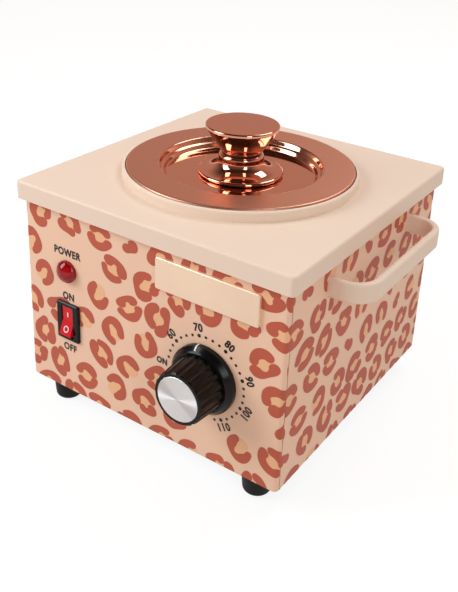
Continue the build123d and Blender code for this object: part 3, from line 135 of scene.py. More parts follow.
class MelterSizes(bpy.types.PropertyGroup):
    """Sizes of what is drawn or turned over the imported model"""
    print_pitch: length("Print pitch", "Distance between the spots of a row", 28.0 * MM)
    print_rows: length("Print rows", "Distance between the rows of spots", 24.6 * MM)
    print_jitter: length("Print jitter", "How far a spot strays from its place", 1.6 * MM)
    spot_radius: length("Spot radius", "Middle line of a spot's strokes", 8.2 * MM)
    stroke: length("Stroke", "Width of a spot's strokes", 7.5 * MM)
    paint: length("Paint", "Thickness of each layer of the print", 0.06 * MM)
    paint_change: length("Paint change", "How much the thickness differs", 0.03 * MM)
    clear_radius: length("Clear radius", "Room kept round the front's signs", 13.5 * MM)
    print_seed: IntProperty(name="Print seed", description="Seed of the print", default=44)
    corner: length("Corner", "Outside radius of the casing's upright corners", 3.0 * MM)
    # seam: width of the painted shadow strip over each front joint
    seam: length("Seam", "Width of the dark line along each front seam", 0.45 * MM)
    rim_width: length("Rim width", "Flat rim of the lid", 24.8 * MM)
    recess_depth: length("Recess depth", "Recess of the lid below its rim", 8.0 * MM)
    ledge_height: length("Ledge height", "Ledge above the floor of the recess", 3.6 * MM)
    ledge_width: length("Ledge width", "Width of the ledge", 1.9 * MM)
    ledge_slope: length("Ledge slope", "Radius lost down each slope", 1.7 * MM)
    lid_sheet: length("Lid sheet", "Thickness of the lid", 1.0 * MM)
    lid_lip: length("Lid lip", "Height of the lid's turned-down edge", 1.9 * MM)
    lid_rounding: length("Lid rounding", "Outside radius of the lid's bends", 1.3 * MM)
    dish_lift: length("Dish lift", "Edge of the knob's foot above the lid", 0.4 * MM)
    dish_edge: length("Dish edge", "Thickness of that edge", 3.0 * MM)
    neck_land: length("Neck land", "Straight top part of the foot's neck", 4.5 * MM)
    neck_rounding: length("Neck rounding", "Round top of the foot's neck", 2.6 * MM)
    label_size: length("Label size", "Type size of POWER, ON and OFF", 8.2 * MM)
    number_size: length("Number size", "Type size of the dial's numbers", 8.2 * MM)
    narrow: FloatProperty(name="Narrow", description="Width of the type to its own", default=0.86)
    weight: length("Weight", "What bold type gains on each side", 0.32 * MM)
    dot_circle: length("Dot circle", "Radius of the dial's circle of dots", 31.8 * MM)
    number_circle: length("Number circle", "Radius of the middles of the numbers", 37.6 * MM)
    large_dot: length("Large dot", "Radius of a dot beside a number", 1.4 * MM)
    small_dot: length("Small dot", "Radius of the other dots", 1.05 * MM)


class MelterColours(bpy.types.PropertyGroup):
    """Colours of the painted, plated and moulded surfaces"""
    cream: colour("Cream", "Cover, collar and handles", screen(238, 217, 198))
    ground: colour("Ground", "Casing under the print", screen(243, 204, 177))
    spot: colour("Spot", "Strokes of the print", screen(192, 95, 74))
    peach: colour("Peach", "Middles of the print's spots", screen(242, 189, 146))
    copper: colour("Copper", "Plate of the lid and its knob", (0.84, 0.44, 0.30))
    rose_gold: colour("Rose gold", "Plate on the front", (1.0, 0.77, 0.58))
    red: colour("Red", "Rocker of the switch", (0.66, 0.006, 0.016))
    ruby: colour("Ruby", "Lens of the pilot lamp", (0.32, 0.002, 0.006))


def sizes():
    return bpy.context.scene.melter_sizes


def colours():
    return bpy.context.scene.melter_colours


# ---- shader groups: effects that several materials use
def new_group(name, inputs, outputs):
    """Empty shader group; inputs and outputs are (name, socket type, default)."""
    tree = bpy.data.node_groups.new(name, "ShaderNodeTree")
    for direction, sockets in (("INPUT", inputs), ("OUTPUT", outputs)):
        for label, kind, default in sockets:
            socket = tree.interface.new_socket(label, in_out=direction, socket_type=kind)
            if default is not None:
                socket.default_value = default
    return tree, tree.nodes.new("NodeGroupInput"), tree.nodes.new("NodeGroupOutput")


def add(tree, kind, settings=None, **inputs):
    """New node; settings are its own properties, and inputs are values or sockets to link.

    An input is given by its label, or as i0, i1 and so on where labels repeat.
    """
    node = tree.nodes.new(kind)
    for key, value in (settings or {}).items():
        setattr(node, key, value)
    for key, value in inputs.items():
        label = int(key[1:]) if key[1:].isdigit() else key.replace("_", " ")
        socket = node.inputs[label]
        if isinstance(value, bpy.types.NodeSocket):
            tree.links.new(value, socket)
        else:
            socket.default_value = value
    return node


def maths(tree, operation, first, second=0.0):
    return add(tree, "ShaderNodeMath", {"operation": operation}, i0=first, i1=second).outputs[0]


def surface_group():
    """Fine grain and slow mottling, for paint, mouldings and metal alike."""
    tree, start, end = new_group(
        "fine surface",
        [("Vector", "NodeSocketVector", None), ("Colour", "NodeSocketColor", (0.8, 0.8, 0.8, 1)),
         ("Grain Size", "NodeSocketFloat", 0.4), ("Mottle", "NodeSocketFloat", 0.03),
         ("Roughness", "NodeSocketFloat", 0.4), ("Roughness Change", "NodeSocketFloat", 0.05)],
        [("Colour", "NodeSocketColor", None), ("Roughness", "NodeSocketFloat", None),
         ("Height", "NodeSocketFloat", None)],
    )
    per_metre = maths(tree, "DIVIDE", 1000.0, start.outputs["Grain Size"])
    grain = add(tree, "ShaderNodeTexNoise", Vector=start.outputs["Vector"], Scale=per_metre,
                Detail=2.0)
    cloud = add(tree, "ShaderNodeTexNoise", Vector=start.outputs["Vector"], Scale=28.0, Detail=3.0)
    drift = add(tree, "ShaderNodeMath", {"operation": "MULTIPLY_ADD"}, i0=cloud.outputs[0],
                i1=2.0, i2=-1.0).outputs[0]
    darker = maths(tree, "MULTIPLY", drift, start.outputs["Mottle"])
    level = maths(tree, "SUBTRACT", 1.0, darker)
    tinted = add(tree, "ShaderNodeVectorMath", {"operation": "SCALE"},
                 i0=start.outputs["Colour"], Scale=level)
    tree.links.new(tinted.outputs[0], end.inputs["Colour"])
    change = maths(tree, "MULTIPLY", drift, start.outputs["Roughness Change"])
    tree.links.new(maths(tree, "ADD", start.outputs["Roughness"], change), end.inputs["Roughness"])
    tree.links.new(grain.outputs[0], end.inputs["Height"])
    return tree


def rings_group():
    """Concentric tool marks round the Z axis of the vector."""
    tree, start, end = new_group(
        "turned rings",
        [("Vector", "NodeSocketVector", None), ("Ring Width", "NodeSocketFloat", 0.3),
         ("Roughness", "NodeSocketFloat", 0.2), ("Roughness Change", "NodeSocketFloat", 0.1)],
        [("Roughness", "NodeSocketFloat", None), ("Height", "NodeSocketFloat", None)],
    )
    flat = add(tree, "ShaderNodeVectorMath", {"operation": "MULTIPLY"},
               i0=start.outputs["Vector"], i1=(1, 1, 0))
    radius = add(tree, "ShaderNodeVectorMath", {"operation": "LENGTH"}, i0=flat.outputs[0])
    per_metre = maths(tree, "DIVIDE", 1000.0, start.outputs["Ring Width"])
    ring = add(tree, "ShaderNodeTexNoise", {"noise_dimensions": "1D"},
               W=radius.outputs["Value"], Scale=per_metre, Detail=3.0)
    change = maths(tree, "MULTIPLY", ring.outputs[0], start.outputs["Roughness Change"])
    tree.links.new(maths(tree, "ADD", start.outputs["Roughness"], change), end.inputs["Roughness"])
    tree.links.new(ring.outputs[0], end.inputs["Height"])
    return tree


def strokes_group():
    """Straight brush strokes along the X axis of the vector."""
    tree, start, end = new_group(
        "brushed lines",
        [("Vector", "NodeSocketVector", None), ("Line Width", "NodeSocketFloat", 0.2),
         ("Roughness", "NodeSocketFloat", 0.3), ("Roughness Change", "NodeSocketFloat", 0.15)],
        [("Roughness", "NodeSocketFloat", None), ("Height", "NodeSocketFloat", None)],
    )
    per_metre = maths(tree, "DIVIDE", 1000.0, start.outputs["Line Width"])
    drawn = add(tree, "ShaderNodeVectorMath", {"operation": "MULTIPLY"},
                i0=start.outputs["Vector"], i1=(0.02, 1, 1))
    line = add(tree, "ShaderNodeTexNoise", Vector=drawn.outputs[0], Scale=per_metre, Detail=2.0)
    change = maths(tree, "MULTIPLY", line.outputs[0], start.outputs["Roughness Change"])
    tree.links.new(maths(tree, "ADD", start.outputs["Roughness"], change), end.inputs["Roughness"])
    tree.links.new(line.outputs[0], end.inputs["Height"])
    return tree


def shared(name, build):
    return bpy.data.node_groups.get(name) or build()


# ---- materials
def object_vector(tree, centre=None, turn=(0.0, 0.0, 0.0)):
    """Object coordinates, moved so that centre is their origin and then turned."""
    coordinates = tree.nodes.new("ShaderNodeTexCoord").outputs["Object"]
    if centre is None:
        return coordinates
    moved = add(tree, "ShaderNodeVectorMath", {"operation": "SUBTRACT"},
                i0=coordinates, i1=tuple(centre))
    turned = add(tree, "ShaderNodeMapping", {"vector_type": "POINT"},
                 Vector=moved.outputs[0], Rotation=turn)
    return turned.outputs[0]


def new_material(name, **constants):
    """Material with a Principled BSDF whose constants are set on its own sockets."""
    material = bpy.data.materials.new(name)
    material.use_nodes = True
    shader = material.node_tree.nodes["Principled BSDF"]
    for key, value in constants.items():
        shader.inputs[key.replace("_", " ")].default_value = value
    return material, material.node_tree, shader


def bump(tree, shader, height, distance, strength=1.0):
    node = add(tree, "ShaderNodeBump", Height=height, Distance=distance, Strength=strength)
    tree.links.new(node.outputs[0], shader.inputs["Normal"])


def surfaced(name, group_name, build, place, depth, values, **constants):
    """Material whose colour, roughness and bump come from a shader group with these values."""
    found = bpy.data.materials.get(name)
    if found:
        return found
    material, tree, shader = new_material(name, **constants)
    group = add(tree, "ShaderNodeGroup", {"node_tree": shared(group_name, build)})
    tree.links.new(object_vector(tree, *place), group.inputs["Vector"])
    for label, value in values.items():
        group.inputs[label].default_value = value
    for label, socket in (("Colour", "Base Color"), ("Roughness", "Roughness")):
        if label in group.outputs:
            tree.links.new(group.outputs[label], shader.inputs[socket])
    bump(tree, shader, group.outputs["Height"], depth * MM)
    return material


def plain(name, base, roughness, grain=0.4, depth=0.004, mottle=0.03, spread=0.05, **constants):
    """Painted or moulded finish: fine grain in the surface and a slow change of tone."""
    values = {"Colour": (*base, 1), "Grain Size": grain, "Mottle": mottle, "Roughness": roughness,
              "Roughness Change": spread}
    return surfaced(name, "fine surface", surface_group, (), depth, values, **constants)


def turned_metal(name, base, centre, turn=(0.0, 0.0, 0.0), roughness=0.12, spread=0.08,
                 ring=0.35, depth=0.001, **constants):
    """Metal turned or spun about an axis through centre."""
    values = {"Ring Width": ring, "Roughness": roughness, "Roughness Change": spread}
    return surfaced(name, "turned rings", rings_group, (centre, turn), depth, values,
                    Metallic=1.0, Base_Color=(*base, 1), **constants)


def brushed_metal(name, base, roughness=0.3, spread=0.15, line=0.2, depth=0.002, **constants):
    """Metal brushed along X."""
    values = {"Line Width": line, "Roughness": roughness, "Roughness Change": spread}
    return surfaced(name, "brushed lines", strokes_group, (), depth, values,
                    Metallic=1.0, Base_Color=(*base, 1), **constants)


def cream_enamel():
    return plain("cream enamel", colours().cream, 0.40, grain=0.9, depth=0.012, mottle=0.015,
                 Specular_IOR_Level=0.35)


def cream_moulding():
    return plain("cream moulding", colours().cream, 0.46, grain=0.35, depth=0.006, mottle=0.02)


def printed_ground():
    return plain("printed ground", colours().ground, 0.45, grain=0.9, depth=0.010, mottle=0.02,
                 Specular_IOR_Level=0.25)


def print_spot():
    return plain("print spot", colours().spot, 0.45, grain=0.9, depth=0.010, mottle=0.06,
                 Specular_IOR_Level=0.25)


def print_peach():
    return plain("print peach", colours().peach, 0.45, grain=0.9, depth=0.010, mottle=0.05,
                 Specular_IOR_Level=0.25)


# Painted shade: the dark brown of the strips over the front seams stands in for the shadow inside
# the joints.
def seam_shade():
    return plain("painted seam shadow", (0.16, 0.07, 0.045), 0.7, grain=0.6, depth=0.004, mottle=0.2,
                 Specular_IOR_Level=0.1)


def polished_copper():
    return turned_metal("polished copper", colours().copper, POT, roughness=0.05, spread=0.04)


def satin_copper():
    return turned_metal("satin copper", colours().copper, POT, roughness=0.34, spread=0.08)


def spun_aluminium():
    return turned_metal("spun aluminium", (0.78, 0.78, 0.79), POT, roughness=0.24, spread=0.16,
                        ring=0.8, depth=0.003)


# Painted sheen: the plate's slow random mottle is stronger than on the paints and stands in for the
# broad bright and dark patches of its reflections.
def rose_gold():
    return plain("rose gold plate", colours().rose_gold, 0.42, grain=0.5, depth=0.003, mottle=0.07,
                 spread=0.08, Metallic=0.45)


def zinc():
    return brushed_metal("zinc plated steel", (0.56, 0.58, 0.60), roughness=0.32, spread=0.2,
                         line=0.5)


def nickel():
    return brushed_metal("nickel plated brass", (0.72, 0.68, 0.58), roughness=0.2, spread=0.1)


def drawn_copper():
    return brushed_metal("drawn copper", (0.72, 0.34, 0.22), roughness=0.26, spread=0.12)


def black_gloss():
    return plain("black gloss", (0.004, 0.004, 0.004), 0.20, grain=0.5, depth=0.002, mottle=0.2,
                 Specular_IOR_Level=0.24)


def black_moulding():
    return plain("black moulding", (0.012, 0.012, 0.013), 0.38, grain=0.25, depth=0.006, mottle=0.2)


def black_rubber():
    return plain("black rubber", (0.006, 0.006, 0.006), 0.5, grain=0.3, depth=0.02, mottle=0.3,
                 Specular_IOR_Level=0.25)


def mica():
    return plain("mica band", (0.46, 0.38, 0.26), 0.5, grain=2.5, depth=0.03, mottle=0.25)


def ceramic():
    return plain("white ceramic", (0.84, 0.82, 0.76), 0.3, grain=0.4, depth=0.004, mottle=0.05)


def glass_fibre():
    return plain("glass fibre", (0.80, 0.78, 0.72), 0.9, grain=1.2, depth=0.4, mottle=0.2)


# Painted shade: the spacer under the lid's knob is near-black so that the groove between the knob
# and its foot reads as shade.
def dark_fibre():
    return plain("dark fibre", (0.010, 0.006, 0.005), 0.6, grain=0.4, depth=0.01, mottle=0.3)


def wire_sleeve():
    return plain("wire sleeve", (0.62, 0.61, 0.58), 0.45, grain=0.5, depth=0.01, mottle=0.1)


def letter_black():
    return plain("black lettering", (0.012, 0.010, 0.010), 0.45, grain=0.4, depth=0.003, mottle=0.2)


def letter_white():
    return plain("white lettering", (0.86, 0.84, 0.82), 0.4, grain=0.4, depth=0.003, mottle=0.04)


def red_rocker():
    return plain("red rocker", colours().red, 0.22, grain=0.4, depth=0.002, mottle=0.12,
                 Specular_IOR_Level=0.3)


# Painted glow: the lens's own faint red emission stands in for the pilot lamp's light scattered in
# the lens.
def ruby_lens():
    return plain("ruby lens", colours().ruby, 0.06, grain=0.8, depth=0.001, mottle=0.05,
                 spread=0.01, Transmission_Weight=0.55, IOR=1.49,
                 Emission_Color=(1.0, 0.0, 0.01, 1), Emission_Strength=0.06)


def lit_glass():
    return plain("lamp glass", (0.9, 0.20, 0.12), 0.1, grain=0.6, depth=0.002, mottle=0.1,
                 Emission_Color=(1.0, 0.04, 0.02, 1), Emission_Strength=1.3)


def control_disc():
    """Turned metal whose highlights fan out from the middle of the dial."""
    material = turned_metal("turned disc", (0.93, 0.93, 0.94), DIAL, (math.pi / 2, 0, 0),
                            roughness=0.34, spread=0.1, ring=0.18, depth=0.001, Anisotropic=0.95)
    tree = material.node_tree
    shader = tree.nodes["Principled BSDF"]
    tangent = add(tree, "ShaderNodeTangent", {"direction_type": "RADIAL", "axis": "Y"})
    tree.links.new(tangent.outputs[0], shader.inputs["Tangent"])
    return material


FINISHES = {
    printed_ground: ("front_panel", "wrap_casing"),
    cream_enamel: ("top_cover", "handle_left", "handle_right"),
    cream_moulding: ("collar_ring",),
    zinc: ("base_plate", "cover_studs", "cover_nuts", "base_screws", "foot_screws", "foot_washers",
           "foot_nuts", "handle_screws", "handle_washers", "collar_screws", "lid_screw",
           "heater_bolts", "heater_nuts", "sensor_clips", "thermostat_plate", "thermostat_body",
           "thermostat_screws", "thermostat_shaft", "inlet_screws", "inlet_nuts", "block_screws",
           "earth_stud"),
    spun_aluminium: ("heating_well", "wax_pot"),
    polished_copper: ("lid", "lid_dish", "lid_knob"),
    dark_fibre: ("lid_spacer",),
    mica: ("band_heater",),
    ceramic: ("heater_posts",),
    glass_fibre: ("insulation_wrap",),
    drawn_copper: ("sensor_bulb", "capillary_tube"),
    nickel: ("thermostat_blades", "switch_blades", "pilot_blades", "inlet_pins"),
    black_gloss: ("control_knob", "switch_housing"),
    black_moulding: ("thermal_cutoff", "pilot_barrel", "pilot_nut", "inlet_socket",
                     "terminal_block"),
    black_rubber: ("foot_front_left", "foot_back_left", "foot_front_right", "foot_back_right"),
    control_disc: ("knob_disc",),
    red_rocker: ("switch_rocker",),
    ruby_lens: ("pilot_lens",),
    lit_glass: ("pilot_lamp",),
    rose_gold: ("nameplate",),
    wire_sleeve: ("wiring",),
}


# ---- mesh helpers
def show(mesh, name, body, slot, *materials):
    """Puts a finished mesh, in place in the frame, on its body."""
    piece = bpy.data.objects.new(name, mesh)
    bpy.context.scene.collection.objects.link(piece)
    if materials:
        mesh.materials.clear()
        for material in materials:
            mesh.materials.append(material)
    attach(piece, body)
    return piece


def fillet_path(points, radii, steps=8):
    """Points of a line whose inner corners are rounded, one radius for each."""
    path = [Vector(points[0])]
    for before, at, after, radius in zip(points, points[1:], points[2:], radii):
        corner = Vector(at)
        back = (Vector(before) - corner).normalized()
        ahead = (Vector(after) - corner).normalized()
        half = back.angle(ahead) / 2
        first = corner + back * radius / math.tan(half)
        centre = corner + (back + ahead).normalized() * radius / math.sin(half)
        turn = math.pi - 2 * half
        side = 1 if back.x * ahead.y - back.y * ahead.x < 0 else -1
        spoke = first - centre
        for step in range(steps + 1):
            path.append(centre + Matrix.Rotation(side * turn * step / steps, 2) @ spoke)
    path.append(Vector(points[-1]))
    return path


def steadied(path, inset=0.25 * MM):
    """The same line with a point just inside each end of its long runs, so they shade flat."""
    out = [path[0]]
    for start, end in zip(path, path[1:]):
        run = end - start
        if run.length > 4 * inset:
            out += [start + run.normalized() * inset, end - run.normalized() * inset]
        out.append(end)
    return out


def sheet_outline(path, thickness):
    """Closed outline of a sheet whose outer face is the path; the sheet lies on its right."""
    inner = []
    for index, point in enumerate(path):
        along = path[min(index + 1, len(path) - 1)] - path[max(index - 1, 0)]
        along.normalize()
        inner.append(point + Vector((along.y, -along.x)) * thickness)
    return path + inner[::-1]


def lathe(outline, centre, steps=LATHE_STEPS):
    """Mesh turned about an upright axis through centre; outline is closed, in (radius, height)."""
    bm = bmesh.new()
    rings = []
    for radius, height in outline:
        if radius < 1e-6:
            rings.append([bm.verts.new((centre.x, centre.y, height))] * steps)
            continue
        turns = [2 * math.pi * step / steps for step in range(steps)]
        rings.append([
            bm.verts.new((centre.x + radius * math.cos(a), centre.y + radius * math.sin(a), height))
            for a in turns
        ])
    for ring, above in zip(rings, rings[1:] + rings[:1]):
        for step in range(steps):
            after = (step + 1) % steps
            corners = []
            for vert in (ring[step], ring[after], above[after], above[step]):
                if vert not in corners:
                    corners.append(vert)
            if len(corners) > 2:
                bm.faces.new(corners)
    bmesh.ops.recalc_face_normals(bm, faces=bm.faces)
    mesh = bpy.data.meshes.new("turned")
    bm.to_mesh(mesh)
    bm.free()
    mesh.shade_smooth()
    mesh.set_sharp_from_angle(angle=SMOOTH_ANGLE)
    return mesh


# ---- Geometry Nodes
def new_tree(name, inputs):
    """Geometry Nodes tree with named inputs after its geometry."""
    tree = bpy.data.node_groups.new(name, "GeometryNodeTree")
    tree.interface.new_socket("Geometry", in_out="INPUT", socket_type="NodeSocketGeometry")
    for label, kind in inputs:
        tree.interface.new_socket(label, in_out="INPUT", socket_type=kind)
    tree.interface.new_socket("Geometry", in_out="OUTPUT", socket_type="NodeSocketGeometry")
    return tree, tree.nodes.new("NodeGroupInput"), tree.nodes.new("NodeGroupOutput")


def grown(tree, **values):
    """Plain mesh that a tree makes with these inputs, named by their labels."""
    holder = bpy.data.objects.new("holder", bpy.data.meshes.new("holder"))
    bpy.context.scene.collection.objects.link(holder)
    modifier = holder.modifiers.new("grow", "NODES")
    modifier.node_group = tree
    sockets = {
        item.name: item.identifier for item in tree.interface.items_tree if item.in_out == "INPUT"
    }
    for label, value in values.items():
        modifier[sockets[label.replace("_", " ")]] = value
    graph = bpy.context.evaluated_depsgraph_get()
    mesh = bpy.data.meshes.new_from_object(holder.evaluated_get(graph))
    holder.modifiers.remove(modifier)
    bpy.data.objects.remove(holder)
    return mesh


def random_value(tree, kind, low, high, seed, first):
    """Random Value node; first is the index of its lower input, and its output is returned."""
    node = tree.nodes.new("FunctionNodeRandomValue")
    node.data_type = kind
    for index, value in ((first, low), (first + 1, high)):
        if isinstance(value, bpy.types.NodeSocket):
            tree.links.new(value, node.inputs[index])
        else:
            node.inputs[index].default_value = value
    tree.links.new(seed, node.inputs["Seed"])
    return node.outputs[{"FLOAT_VECTOR": 0, "FLOAT": 1, "INT": 2}[kind]]


def scatter_tree():
    """Motifs of a collection, picked, turned and sized at random on a staggered grid."""
    tree, start, end = new_tree("spotted print", [
        ("Motifs", "NodeSocketCollection"), ("Columns", "NodeSocketInt"), ("Rows", "NodeSocketInt"),
        ("Pitch", "NodeSocketFloat"), ("Row Pitch", "NodeSocketFloat"),
        ("Jitter", "NodeSocketFloat"), ("Seed", "NodeSocketInt"), ("Smallest", "NodeSocketFloat"),
        ("Largest", "NodeSocketFloat"), ("Kept Clear", "NodeSocketObject"),
        ("Clear Radius", "NodeSocketFloat"), ("Height Change", "NodeSocketFloat"),
        ("Material", "NodeSocketMaterial"),
    ])
    value = start.outputs
    wide = maths(tree, "MULTIPLY", maths(tree, "SUBTRACT", value["Columns"], 1.0), value["Pitch"])
    tall = maths(tree, "MULTIPLY", maths(tree, "SUBTRACT", value["Rows"], 1.0), value["Row Pitch"])
    grid = tree.nodes.new("GeometryNodeMeshGrid")
    for socket, source in zip(grid.inputs, (wide, tall, value["Columns"], value["Rows"])):
        tree.links.new(source, socket)
    points = add(tree, "GeometryNodeMeshToPoints", Mesh=grid.outputs["Mesh"])
    index = tree.nodes.new("GeometryNodeInputIndex").outputs[0]
    row = maths(tree, "MODULO", index, value["Rows"])
    odd = maths(tree, "MODULO", row, 2.0)
    shift = maths(tree, "MULTIPLY", maths(tree, "MULTIPLY", odd, 0.5), value["Pitch"])
    back = maths(tree, "MULTIPLY", value["Jitter"], -1.0)
    stray_x = random_value(tree, "FLOAT", back, value["Jitter"], value["Seed"], 2)
    seeds = [maths(tree, "ADD", value["Seed"], float(step)) for step in range(1, 6)]
    stray_y = random_value(tree, "FLOAT", back, value["Jitter"], seeds[0], 2)
    height = random_value(tree, "FLOAT", 0.0, value["Height Change"], seeds[4], 2)
    step = add(tree, "ShaderNodeCombineXYZ", X=maths(tree, "ADD", shift, stray_x), Y=stray_y)
    moved = add(tree, "GeometryNodeSetPosition", Geometry=points.outputs[0], Offset=step.outputs[0])
    clear = add(tree, "GeometryNodeObjectInfo", Object=value["Kept Clear"])
    near = add(tree, "GeometryNodeProximity", {"target_element": "POINTS"},
               Geometry=clear.outputs["Geometry"])
    taken = maths(tree, "LESS_THAN", near.outputs["Distance"], value["Clear Radius"])
    kept = add(tree, "GeometryNodeDeleteGeometry", Geometry=moved.outputs[0], Selection=taken)
    level = add(tree, "ShaderNodeCombineXYZ", Z=height)
    placed = add(tree, "GeometryNodeSetPosition", Geometry=kept.outputs[0], Offset=level.outputs[0])
    motifs = add(tree, "GeometryNodeCollectionInfo", Collection=value["Motifs"])
    motifs.inputs["Separate Children"].default_value = True
    motifs.inputs["Reset Children"].default_value = True
    pick = random_value(tree, "INT", 0, 997, seeds[1], 4)
    turn = random_value(tree, "FLOAT", 0.0, 2 * math.pi, seeds[2], 2)
    size = random_value(tree, "FLOAT", value["Smallest"], value["Largest"], seeds[3], 2)
    spin = add(tree, "ShaderNodeCombineXYZ", Z=turn)
    spread = add(tree, "GeometryNodeInstanceOnPoints", Points=placed.outputs[0],
                 Instance=motifs.outputs[0], Pick_Instance=True, Instance_Index=pick,
                 Rotation=spin.outputs[0], Scale=size)
    real = add(tree, "GeometryNodeRealizeInstances", Geometry=spread.outputs[0])
    painted = add(tree, "GeometryNodeSetMaterial", Geometry=real.outputs[0],
                  Material=value["Material"])
    tree.links.new(painted.outputs[0], end.inputs[0])
    return tree


def dots_tree():
    """Dots on part of a circle, clockwise from the top, with every fourth one larger."""
    tree, start, end = new_tree("ring of dots", [
        ("Count", "NodeSocketInt"), ("First Angle", "NodeSocketFloat"),
        ("Step", "NodeSocketFloat"), ("Radius", "NodeSocketFloat"), ("Small", "NodeSocketFloat"),
        ("Large", "NodeSocketFloat"), ("First Large", "NodeSocketInt"),
        ("Material", "NodeSocketMaterial"),
    ])
    value = start.outputs
    points = add(tree, "GeometryNodePoints", Count=value["Count"])
    index = tree.nodes.new("GeometryNodeInputIndex").outputs[0]
    angle = maths(tree, "ADD", maths(tree, "MULTIPLY", index, value["Step"]), value["First Angle"])
    right = maths(tree, "MULTIPLY", maths(tree, "SINE", angle), value["Radius"])
    up = maths(tree, "MULTIPLY", maths(tree, "COSINE", angle), value["Radius"])
    place = add(tree, "ShaderNodeCombineXYZ", X=right, Y=up)
    placed = add(tree, "GeometryNodeSetPosition", Geometry=points.outputs[0],
                 Position=place.outputs[0])
    circle = add(tree, "GeometryNodeMeshCircle", {"fill_type": "NGON"}, Vertices=24, Radius=1.0)
    late = maths(tree, "SUBTRACT", index, value["First Large"])
    off_number = maths(tree, "ABSOLUTE", maths(tree, "MODULO", late, 4.0))
    plain_dot = maths(tree, "MINIMUM", off_number, 1.0)
    more = maths(tree, "SUBTRACT", value["Small"], value["Large"])
    size = maths(tree, "ADD", value["Large"], maths(tree, "MULTIPLY", plain_dot, more))
    spread = add(tree, "GeometryNodeInstanceOnPoints", Points=placed.outputs[0],
                 Instance=circle.outputs[0], Scale=size)
    real = add(tree, "GeometryNodeRealizeInstances", Geometry=spread.outputs[0])
    painted = add(tree, "GeometryNodeSetMaterial", Geometry=real.outputs[0],
                  Material=value["Material"])
    tree.links.new(painted.outputs[0], end.inputs[0])
    return tree


# ---- spotted print
STROKE_STEP = 0.01 * MM        # between the strokes of a spot, which may touch


def stroke_outline(rng, radius, width, middle_turn, sweep):
    """Closed outline of a thick bent stroke with round ends."""
    steps = max(8, int(abs(sweep) / 0.16))
    wave, phase = rng.uniform(0.05, 0.14), rng.uniform(0, 2 * math.pi)
    swell, swell_phase = rng.uniform(0.14, 0.26), rng.uniform(0, 2 * math.pi)
    centres, halves = [], []
    for step in range(steps + 1):
        share = step / steps
        turn = middle_turn + sweep * (share - 0.5)
        out = radius * (1 + wave * math.sin(2 * turn + phase))
        centres.append(Vector((out * math.cos(turn), out * math.sin(turn))))
        lumps = swell * math.sin(sweep * 3 * share + swell_phase)
        halves.append(width / 2 * (1 + lumps + 0.10 * math.cos(2 * math.pi * share)))
    outer, inner = [], []
    for index, (centre, half) in enumerate(zip(centres, halves)):
        along = centres[min(index + 1, steps)] - centres[max(index - 1, 0)]
        side = Vector((along.y, -along.x)).normalized()
        outer.append(centre + side * half)
        inner.append(centre - side * half)
    caps = []
    for centre, edge in ((centres[-1], outer[-1]), (centres[0], inner[0])):
        spoke = edge - centre
        caps.append([centre + Matrix.Rotation(math.pi * k / 7, 2) @ spoke for k in range(1, 7)])
    return outer + caps[0] + inner[::-1] + caps[1]


def middle_outline(rng, radius):
    """Irregular patch under the strokes of a spot."""
    waves = [(2, 0.10), (3, 0.12), (5, 0.06)]
    phases = [rng.uniform(0, 2 * math.pi) for _ in waves]
    outline = []
    for step in range(36):
        turn = 2 * math.pi * step / 36
        out = 1 + sum(size * math.sin(n * turn + p) for (n, size), p in zip(waves, phases))
        outline.append(Vector((radius * out * math.cos(turn), radius * out * math.sin(turn))))
    return outline


def motif(name, outlines, collection):
    """Mesh of flat closed outlines, cut into triangles; each lies a little above the last."""
    bm = bmesh.new()
    for level, outline in enumerate(outlines):
        bm.faces.new([bm.verts.new((*point, level * STROKE_STEP)) for point in outline])
    bm.normal_update()
    for face in bm.faces:
        if face.normal.z < 0:
            face.normal_flip()
    bmesh.ops.triangulate(bm, faces=bm.faces, ngon_method="EAR_CLIP")
    mesh = bpy.data.meshes.new(name)
    bm.to_mesh(mesh)
    bm.free()
    collection.objects.link(bpy.data.objects.new(name, mesh))


# each kind of spot is a list of strokes: middle of the stroke and its sweep, in degrees
SPOT_KINDS = (
    ((0, 118), (180, 128)),
    ((8, 150), (190, 96)),
    ((90, 244),),
    ((58, 214), (232, 20)),
    ((0, 96), (174, 146)),
    ((90, 262),),
    ((20, 160), (200, 84)),
    ((0, 132), (186, 112)),
    ((40, 196), (214, 44)),
    ((0, 78), (180, 158)),
    ((75, 170), (254, 72)),
    ((90, 216),),
    ((4, 124), (176, 120)),
)
LONE_SWEEP = 0.7               # of the single short stroke of the last kind, in radians
HIDDEN_PATCH = 0.2 * MM        # its patch is too small to see


def spot_motifs():
    """Two collections with the same spots: their strokes, and the patches in their middles."""
    size = sizes()
    rng = random.Random(size.print_seed)
    strokes = bpy.data.collections.new("print strokes")
    patches = bpy.data.collections.new("print patches")
    for collection in (strokes, patches):
        bpy.context.scene.collection.children.link(collection)
    for number, kind in enumerate(SPOT_KINDS):
        stretch = Matrix.Diagonal((rng.uniform(0.88, 0.98), rng.uniform(1.02, 1.16)))
        outlines = [
            stroke_outline(rng, size.spot_radius, size.stroke * rng.uniform(0.9, 1.08),
                           math.radians(at), math.radians(sweep))
            for at, sweep in kind
        ]
        motif(f"spot_{number:02d}", [[stretch @ p for p in line] for line in outlines], strokes)
        patch = middle_outline(rng, size.spot_radius * rng.uniform(0.92, 1.12))
        motif(f"spot_{number:02d}_middle", [[stretch @ p for p in patch]], patches)
    blob = stroke_outline(rng, size.spot_radius, size.stroke * 1.1, 0.0, LONE_SWEEP)
    inward = Vector((-size.spot_radius, 0))
    motif("spot_lone_0", [[p + inward for p in blob]], strokes)
    motif("spot_lone_0_middle", [middle_outline(rng, HIDDEN_PATCH)], patches)
    return strokes, patches


def ring_of_points(centre, radius, count=16):
    return [
        Vector((centre[0] + radius * math.cos(a), centre[1] + radius * math.sin(a)))
        for a in (2 * math.pi * k / count for k in range(count))
    ]


def rectangle(centre, width, height):
    x, y = centre
    return [Vector((x + sx * width / 2, y + sy * height / 2))
            for sx, sy in ((-1, -1), (1, -1), (1, 1), (-1, 1))]


